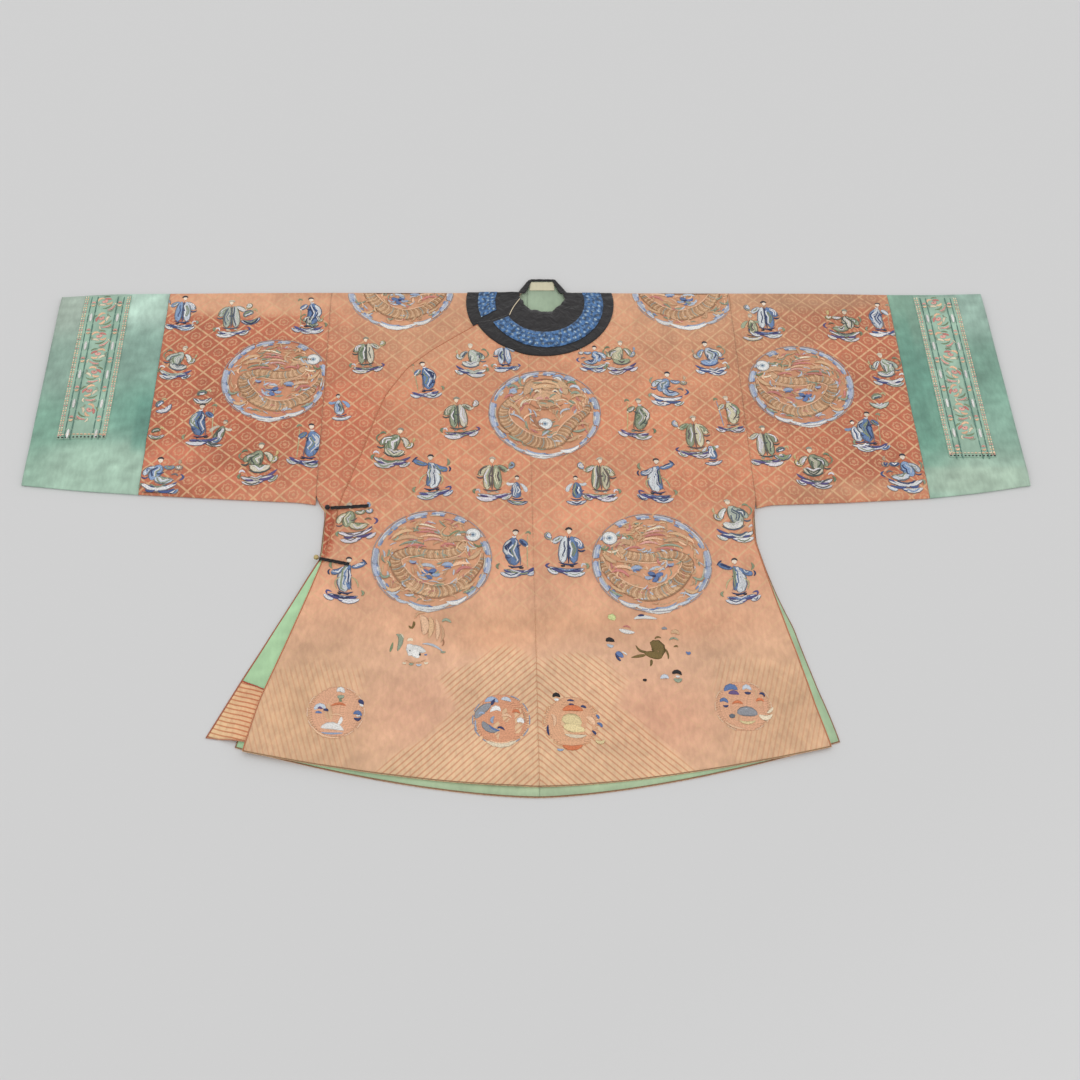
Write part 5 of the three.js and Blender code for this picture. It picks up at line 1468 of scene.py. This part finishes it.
def collar_piece(name, rings, side, level, thickness, lift, stuff, slot, rests_on):
    """A sector between rings round the neck, each from its start angle to the shoulder fold."""
    rings = np.array(rings, dtype=float)
    end = np.degrees(np.arcsin((COLLAR_TOP - rings[:, 1]) / rings[:, 2]))
    end = 360 + end if side > 0 else 180 - end
    t = np.linspace(0, 1, 150 if side > 0 else 30)[None]
    angle = np.radians(mix(rings[:, 3:], end[:, None], t))
    xs, ys = rings[:, :1] + rings[:, 2:3] * np.cos(angle), rings[:, 1:2] + rings[:, 2:3] * np.sin(angle)
    if slot == "satin" and side > 0:
        ragged = 1 - 0.05 - 0.035 * np.sin(t[0] * 19 + 1) - 0.025 * np.sin(t[0] * 41)
        ragged = mix(1.0, ragged, smooth(0, 0.08, t[0]) * smooth(1, 0.92, t[0]))
        xs[0], ys[0] = mix(rings[0, 0], xs[0], ragged), mix(rings[0, 1], ys[0], ragged)
    r = np.linspace(0, len(rings) - 1, 6 * (len(rings) - 1) + 1)
    low = np.minimum(r.astype(int), len(rings) - 2)
    share = (r - low)[:, None]
    x, y = mix(xs[low], xs[low + 1], share), mix(ys[low], ys[low + 1], share)
    crumple = smooth(1.1, 0.0, r)[:, None] * (0.9 + 0.9 * ripple(x, y, 13, 61)) if slot == "satin" else 0.0
    grid = np.stack([x, y, level(x, y) + lift + thickness / 2 + np.maximum(crumple, 0.0)], -1)
    middle = rings[:, 2].mean()
    flat = np.stack([angle[:1] * middle + 0 * r[:, None],
                     np.interp(r, np.arange(len(rings)), rings[:, 2])[:, None] + 0 * x], -1)
    return cloth(name, grid, grid[..., :2] if slot == "satin" else flat, [stuff], thickness,
                 rests_on=rests_on, slot=slot, sheet=slot == "satin")


def under_level(x, y):
    """Height of the under front beside the neck."""
    return UNDER + relief(x, y)


RIBBON_LIFT = REST + CLOTH + GAP
collar_piece("neck_ribbon", RIBBON_OVER, 1, front_level, TRIM, RIBBON_LIFT, ribbon, "ribbon", [])
collar_piece("neck_facing", FACING_OVER, 1, front_level, CLOTH, REST, satin, "satin",
             ["front_left", "front_overlap"])
collar_piece("neck_ribbon_under", RIBBON_UNDER, -1, under_level, TRIM, RIBBON_LIFT, ribbon, "ribbon", [])
collar_piece("neck_facing_under", FACING_UNDER, -1, under_level, CLOTH, REST, satin, "satin",
             ["under_front"])


def tube(name, path, radii, materials, node, slot, turns=8, squash=1.0):
    """A closed tube along a path: each ring lies across the path, radius by radius."""
    path = np.asarray(path, dtype=float)
    ahead = np.gradient(path, axis=0)
    ahead /= np.linalg.norm(ahead, axis=1, keepdims=True)
    beside = np.cross(np.array([0.0, 0.0, 1.0]), ahead)
    beside /= np.linalg.norm(beside, axis=1, keepdims=True)
    up = np.cross(ahead, beside)
    angle = np.arange(turns) / turns * 2 * np.pi
    radii = np.broadcast_to(radii, (len(path),))[:, None, None]
    ring = beside[:, None] * np.cos(angle)[:, None] + up[:, None] * np.sin(angle)[:, None] * squash
    points = (path[:, None] + ring * radii).reshape(-1, 3)
    quads = lattice_quads(len(path), turns, True)
    half = turns // 2
    i = np.arange(half - 1)
    cap = np.stack([i, i + 1, turns - 2 - i, turns - 1 - i], -1)
    last = (len(path) - 1) * turns
    quads = np.concatenate([quads, cap[:, ::-1], cap + last])
    run = np.repeat(np.concatenate([[0], np.cumsum(np.linalg.norm(np.diff(path, axis=0), axis=1))]), turns)
    uv = np.stack([run, np.tile(angle, len(path))], -1)
    return piece(name, points, quads, materials, uv, None, slot, node=node)


def neck_label():
    """A plain label on the back lining, with a soft uneven lift."""
    x, y = np.meshgrid(np.linspace(5, 50, 18), np.linspace(11, 32, 12))
    grid = np.stack([x, y, LINING + ON_TOP + 0.25 + 0.15 * ripple(x, y, 18, 51)], -1)
    cloth("neck_label", grid, grid[..., :2], [label_cloth], 0.5, rests_on=["back_lining_left"], slot="label")


# The border beside the back's tongue: outer x and y, inner x and y
BORDER = [(-17, 1.2, -3, 2.5), (-11, 12, 1, 12), (4, 35.5, 9, 33), (8, 37, 12, 34.5), (28, 37.4, 28, 34.8),
          (48, 37, 44, 34.5), (52, 35.5, 47, 33), (67, 12, 55, 12), (73, 1.2, 59, 2.5)]


def neck_binding():
    """A rolled edge along the top of the back, and the black border that runs beside its tongue."""
    along = np.linspace(-6, 62, 60)
    path = np.stack([along, back_top(along) - 2, 0 * along + LINING + ON_TOP + 1.2], -1)
    tube("neck_binding_rope", path, 1.2 + 0.12 * np.sin(along * 1.7), [satin], "neck_binding", "satin")
    rows = np.array(BORDER, dtype=float)
    knots = np.arange(len(rows))
    spread = np.stack([np.interp(np.linspace(0, knots[-1], 90), knots, rows[:, c]) for c in range(4)], -1)
    share = np.linspace(0, 1, 6)[None]
    x, y = mix(spread[:, :1], spread[:, 2:3], share), mix(spread[:, 1:2], spread[:, 3:4], share)
    z = UNDER + ON_TOP + 0.9 + 0.6 * ripple(x, y, 11, 63) * (1 - np.abs(2 * share - 1))
    grid = np.stack([x, y + 0.5 * ripple(x, y, 12, 64), z], -1)
    cloth("neck_border", grid, grid[..., :2], [satin], TRIM, slot="satin", sheet=False, node="neck_binding")


def neck_loop():
    """A short cord across the collar, bowed a little to one side."""
    t = np.linspace(0, 1, 24)
    z = 0 * t + OVER + REST + CLOTH + GAP + 0.8 + AIR
    path = np.stack([mix(-13, -32, t) - 2 * np.sin(np.pi * t), mix(-16, -56, t), z], -1)
    tube("neck_loop_cord", path, 0.8, [cord_cloth], "neck_loop", "label")


# Closings: place, knot x and y, end x and y, the knot's material and slot
TOGGLES = [("upper", (-330, -481), (-264, -477), satin, "satin"),
           ("lower", (-342, -579), (-290, -591), brass, "brass")]
BALL, BALL_ROWS, BALL_TURNS = 4.4, 22, 28


def toggle(place, knot, end, stuff, slot):
    """Two twisted strands from an end to a knot: a ball of radius r = BALL (0.93 + 0.16 g), where g
    is a set of spiral grooves on a silk knot and shallow flutes on a brass one."""
    knot, end = np.array(knot, dtype=float), np.array(end, dtype=float)
    length = np.linalg.norm(end - knot)
    t = np.linspace(4.8 / length, 1, 40)
    across = np.array([knot[1] - end[1], end[0] - knot[0]]) / length
    for strand, letter in ((-1, "a"), (1, "b")):
        line = mix(knot, end, t[:, None]) + across * (1.5 * strand + 0.25 * np.sin(t * 40))[:, None]
        z = front_level(line[:, 0], line[:, 1]) + ON_TOP + 1.4
        tube(f"toggle_{place}_strand_{letter}", np.column_stack([line, z]), 1.35 + 0.15 * np.sin(t * 110),
             [satin], f"toggle_{place}_cord", "satin")
    theta, phi = np.meshgrid(np.linspace(0.04, np.pi - 0.04, BALL_ROWS),
                             np.arange(BALL_TURNS) / BALL_TURNS * 2 * np.pi, indexing="ij")
    if slot == "satin":
        groove = 0.35 * np.abs(np.sin(phi * 2 + theta * 3))
    else:
        groove = 0.1 * np.abs(np.sin(phi * 4))
    r = BALL * (0.93 + 0.16 * groove)
    flat = r * np.sin(theta)
    ball = np.stack([flat * np.cos(phi), flat * np.sin(phi), r * np.cos(theta)], -1)
    centre = np.array([*knot, OVER + ON_TOP + 4.5])
    i = np.arange(BALL_TURNS // 2 - 1)
    cap = np.stack([i, i + 1, BALL_TURNS - 2 - i, BALL_TURNS - 1 - i], -1)
    last = (BALL_ROWS - 1) * BALL_TURNS
    quads = np.concatenate([lattice_quads(BALL_ROWS, BALL_TURNS, True), cap[:, ::-1], cap + last])
    piece(f"toggle_{place}_ball", ball.reshape(-1, 3) + centre, quads[:, ::-1], [stuff],
          np.stack([phi, theta], -1).reshape(-1, 2) * 5, None, slot, node=f"toggle_{place}_knot")


neck_label()
neck_binding()
neck_loop()
for closing in TOGGLES:
    toggle(*closing)

BANDS = [("cuff_band_right", SLEEVE_RIGHT, -785, -704, -336),
         ("cuff_band_left", SLEEVE_LEFT, 700, 779, -378)]
for name, table, start, end, bottom in BANDS:
    x, y = np.meshgrid(steps(start, end, 6), steps(SHOULDER - 8, bottom, 6))
    y = np.minimum(y, read(table, x) - FOLD)
    z = sleeve_level(x, y, table) + ON_TOP + TRIM / 2
    grid = np.stack([x, y, z], -1)
    cloth(name, grid, grid[..., :2], [band_silk], TRIM, rests_on=[name.replace("_band", "")], dye=BAND_DYE,
          slot="band_silk")

SPRAY = [
    (-10, 14, -4, 18, 4, 14, 3, 5, "peach"), (-4, 10, 0, 6, 6, 8, 5, 8, "pink"),
    (2, 12, 8, 10, 12, 4, 3, 5, "rose"), (-14, 4, -8, 2, -4, -4, 3, 5, "cream"),
    (-2, 0, 4, -4, 10, -2, 3, 5, "peach"), (-1, 8, 0, 7, 2, 8, 3, 3.6, "black"),
    (-12, -6, -4, -10, 6, -8, 2, 3, "moss"), (-8, -14, 0, -16, 10, -12, 3, 4, "pink"),
    (4, 18, 10, 16, 14, 12, 2, 3, "moss"), (-14, 12, -12, 8, -15, 2, 2, 3, "sage"),
    (10, -8, 13, -12, 12, -17, 2, 3, "cream"), (-10, -18, -4, -20, 2, -19, 2, 3, "sage"),
]


BEADS = ["cream", "peach", "cream", "pink"]


def upright(x, y, length, end_width, width, thread):
    """A straight stitch down from (x, y)."""
    return x, y, x, y - length / 2, x, y - length, end_width, width, end_width, thread


def band_motifs(start, end, bottom, seed):
    """A cuff band: dotted borders, two green tracks with pale slots, sprays between them, and a
    dashed lower edge."""
    dice = np.random.default_rng(seed)
    width, rows, made = end - start, [], []
    for share in (0.025, 0.075, 0.93, 0.98):
        for k, y in enumerate(np.arange(-8, bottom + 6, -5.4)):
            rows.append(upright(start + share * width, y, 3.4, 2.2, 2.4, BEADS[k % 4]))
    for share in (0.15, 0.28, 0.72, 0.85):
        for y in np.arange(-8, bottom + 12, -22):
            rows.append(upright(start + share * width, y, 22, 2.0, 2.0, "teal"))
    for share in (0.215, 0.785):
        x = start + share * width
        for k, y in enumerate(np.arange(-18, bottom + 18, -33)):
            if k % 2:
                rows.append(upright(x, y, 20, 3.6, 5, "white"))
            else:
                rows += [(x - 3, y - 8, x, y - 5, x + 3, y - 8, 2.4, 4, 2.4, "pink"),
                         (x - 3, y - 12, x, y - 14, x + 3, y - 11, 2.4, 4, 2.4, "peach")]
    for x in np.arange(start + 3, end, 6.2):
        low = bottom + 3.2
        rows.append((x - 1.6, low, x, low, x + 1.6, low, 2.6, 2.8, 2.6, "black"))
        high = bottom + 9
        thread = "peach" if dice.uniform() < 0.5 else "cream"
        rows.append((x - 2.4, high, x, high + 0.4, x + 2.4, high, 2.0, 2.4, 2.0, thread))
    made.append(stitched(rows, 0, 0, 1.0, 0, 0, seed))
    for k, y in enumerate(np.arange(-26, bottom + 20, -42)):
        made.append(stitched(SPRAY, (start + end) / 2, y, 1.0, dice.uniform(-40, 40), k % 2, seed + k))
    return made


for name, table, start, end, bottom in BANDS:
    lift = ON_TOP + TRIM - CLOTH / 2
    embroidery(f"{name}_stitching", band_motifs(start, end, bottom, 5 + (start > 0)),
               lambda x, y, t=table: sleeve_level(x, y, t) + lift, threads, (start, end, -9e3, -3),
               "band_silk")

# ---------------------------------------------------------------- embroidery
left_front = [*figures([row for row in ON_FRONT if row[1] > 0])]
right_front = [*figures([row for row in ON_FRONT if row[1] < 0])]
chest = roundel(25, -280, 1.0, 0, (0, -24), 1, True)
left_front += roundel(187, -588, 1.0, 1, seed=2) + roundel(283, 10, 1.0, 1, seed=4)
right_front += roundel(-161, -582, 1.0, 0, seed=3)
left_front += [stitched(DARK_EMBLEM, 178, -751)]
right_front += [stitched(FLOWER_EMBLEM, -183, -744)]
left_front += small_round(BLOB_ROUND, 49, -873, (226, 172, 130), (226, 172, 134))
left_front += small_round(GOURD_ROUND, 306, -849, (224, 190, 160), (224, 170, 136))
right_front += small_round(PALE_ROUND, -297, -854, (232, 196, 168), (226, 172, 138))
right_front += small_round(CURL_ROUND, -54, -869, (150, 158, 180), (222, 158, 122))
MARGIN = 2.5


def edge_thread(path, width, colour, lift=0.0):
    """One padded band along a path of points, in one colour."""
    return path[None], np.full((1, len(path)), width), np.array([colour], float), 0.5, lift


edge_lines = []
FRONTS = [(FRONT_LEFT_EDGE, 1, -486), (OVERLAP_EDGE, -1, -62)]
for table, side, start in FRONTS:
    down = np.linspace(start, HEM_FRONT + 1, 120)
    x = read(table, down) - side * 1.2
    line = np.stack([x, down + hem_rise(x, down, HEM_FRONT, LIFT_FRONT)], -1)
    low = np.linspace(0, read(table, HEM_FRONT) - side, 90)
    hemline = np.stack([low, HEM_FRONT + 1.2 + hem_rise(low, HEM_FRONT, HEM_FRONT, LIFT_FRONT)], -1)
    edge_lines += [edge_thread(line, 1.8, (190, 116, 80)), edge_thread(hemline, 1.8, (150, 118, 84))]
embroidery("front_edging", edge_lines, front_level, threads)
back_lines = []
for _, table, side in BACKS:
    low = np.linspace(0, read(table, HEM_BACK), 90)
    hemline = np.stack([low, HEM_BACK + 1.2 + hem_rise(low, HEM_BACK, HEM_BACK, LIFT_BACK)], -1)
    down = np.linspace(-486, HEM_BACK, 110)
    x = read(table, down) - side * 1.2
    for path in (hemline, np.stack([x, down + hem_rise(x, down, HEM_BACK, LIFT_BACK)], -1)):
        back_lines.append(edge_thread(path, 2.4, (150, 112, 84), 0.3))
embroidery("back_edging", back_lines, lambda x, y: 0 * x + BACK, threads)
flap_side = np.concatenate([plain_flap[:, 0, :2], border_flap[:, 0, :2]]) + np.array([1.2, 0.0])
flap_lines = [edge_thread(flap_side, 2.4, (170, 100, 74)),
              edge_thread(border_flap[0, :, :2], 2.2, (176, 76, 54)),
              edge_thread(border_flap[-1, :, :2], 2.0, (190, 130, 100))]
embroidery("flap_edging", flap_lines, flap_level, threads)
seam = [(0, y, 0, y - 15, 0, y - 31, 0.9, 0.9, 0.9) for y in range(-677, -977, -30)]
chest.append((*curve(np.array(seam, float)), np.full((10, 3), (210.0, 154, 116)), 0.1, 0.0))


def on_fronts(x, y):
    """Points brought in between the overlap's edge and the left front's edge."""
    return np.clip(x, read(OVERLAP_EDGE, y) + 2.5, read(FRONT_LEFT_EDGE, y) - 2.5), y


embroidery("chest_stitching", chest, front_level, threads)
embroidery("left_front_stitching", left_front, front_level, threads, (GAP, 9e3, -9e3, SHOULDER - MARGIN),
           within=on_fronts)
embroidery("right_front_stitching", right_front, front_level, threads, (-9e3, -GAP, -9e3, -60),
           within=on_fronts)
shoulder = figures(ON_SHOULDER) + roundel(-226, 10, 1.0, 0, seed=5)
embroidery("under_front_stitching", shoulder, flap_level, threads, (-348, -62, -9e3, SHOULDER - MARGIN))
WORKED_SLEEVES = [("right", ON_SLEEVE_RIGHT, SLEEVE_RIGHT, (-435, -204), CUFF_RIGHT + 1, SEAM_RIGHT - 1),
                  ("left", ON_SLEEVE_LEFT, SLEEVE_LEFT, (470, -218), SEAM_LEFT + 1, CUFF_LEFT - 1)]
for name, places, table, spot, start, end in WORKED_SLEEVES:
    shapes = figures(places) + roundel(*spot, 0.96, int(spot[0] > 0), seed=6)
    embroidery(f"{name}_sleeve_stitching", shapes, lambda x, y, t=table: sleeve_level(x, y, t), threads,
               (start, end, -9e3, -1),
               within=lambda x, y, t=table: (x, np.maximum(y, read(t, x, 2) + 3.5)))

# What is stitched on each sheet
STITCHED_ON = {"front_left": ["left_front_stitching", "chest_stitching", "front_edging"],
               "front_overlap": ["right_front_stitching"], "under_front": ["under_front_stitching"],
               "back_left": ["back_edging"], "underlap_plain": ["flap_edging"],
               "sleeve_right": ["right_sleeve_stitching"], "sleeve_left": ["left_sleeve_stitching"],
               "cuff_band_right": ["cuff_band_right_stitching"],
               "cuff_band_left": ["cuff_band_left_stitching"],
               "neck_facing": ["neck_ribbon_cloth"], "neck_facing_under": ["neck_ribbon_under_cloth"]}
for name, facts in SHEETS.items():
    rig.sheet(**facts, with_pieces=STITCHED_ON.get(name, []))

# ---------------------------------------------------------------- floor, light and camera
def on_stage(thing):
    """A thing of the studio, linked to the scene and left out of the object."""
    bpy.context.scene.collection.objects.link(thing)
    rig.stage(thing)


FLOOR = [(-6, -6, -0.0005), (6, -6, -0.0005), (6, 6, -0.0005), (-6, 6, -0.0005)]
floor = bpy.data.meshes.new("floor")
floor.from_pydata(FLOOR, [], [(0, 1, 2, 3)])
floor_paint = bpy.data.materials.new("Studio floor")
floor_paint.use_nodes = True
floor_shader = floor_paint.node_tree.nodes["Principled BSDF"]
floor_shader.inputs["Base Color"].default_value = paint(212, 212, 212)
floor_shader.inputs["Roughness"].default_value = 0.9
floor.materials.append(floor_paint)
on_stage(bpy.data.objects.new("floor", floor))

world = bpy.data.worlds.new("Studio")
world.use_nodes = True
sky = world.node_tree.nodes["Background"]
sky.inputs["Color"].default_value = (1.0, 1.0, 1.0, 1.0)
sky.inputs["Strength"].default_value = 0.95
bpy.context.scene.world = world
LAMPS = [("key", (-5.0, -0.9, 3.8), 2.2, 640.0), ("fill", (2.5, -3.6, 4.0), 3.0, 235.0)]
for name, place, size, energy in LAMPS:
    lamp = bpy.data.lights.new(name, "AREA")
    lamp.size, lamp.energy = size, energy
    lamp_thing = bpy.data.objects.new(name, lamp)
    lamp_thing.location = place
    aim = -np.array(place) / np.linalg.norm(place)
    lamp_thing.rotation_euler = (np.arccos(-aim[2]), 0.0, np.arctan2(aim[0], -aim[1]))
    on_stage(lamp_thing)

azimuth, elevation, roll, distance = np.radians(-3.48), np.radians(54.46), np.radians(2.61), 2.472
target = np.array([0.011, -0.540, 0.0]) + ZERO * MM
level_back = np.array([np.sin(azimuth), -np.cos(azimuth), 0.0])
back = level_back * np.cos(elevation) + np.array([0.0, 0.0, np.sin(elevation)])
right = np.cross(-back, [0.0, 0.0, 1.0])
right /= np.linalg.norm(right)
up = np.cross(right, -back)
turned_right = right * np.cos(roll) + up * np.sin(roll)
turned_up = up * np.cos(roll) - right * np.sin(roll)
lens = bpy.data.cameras.new("camera")
lens.lens, lens.sensor_width, lens.clip_end = 51.53, 36.0, 50.0
camera = bpy.data.objects.new("camera", lens)
matrix = np.eye(4)
matrix[:3] = np.stack([turned_right, turned_up, back, target + back * distance], 1)
camera.matrix_world = matrix.T.tolist()
bpy.context.scene.collection.objects.link(camera)
bpy.context.scene.camera = camera
bpy.context.scene.view_settings.view_transform = "Standard"

with open("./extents.json", "w") as out:
    json.dump({"cad": [list(map(float, corner)) for corner in cad_box],
               "visual": [list(map(float, corner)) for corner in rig.bounds()]}, out, indent=1)
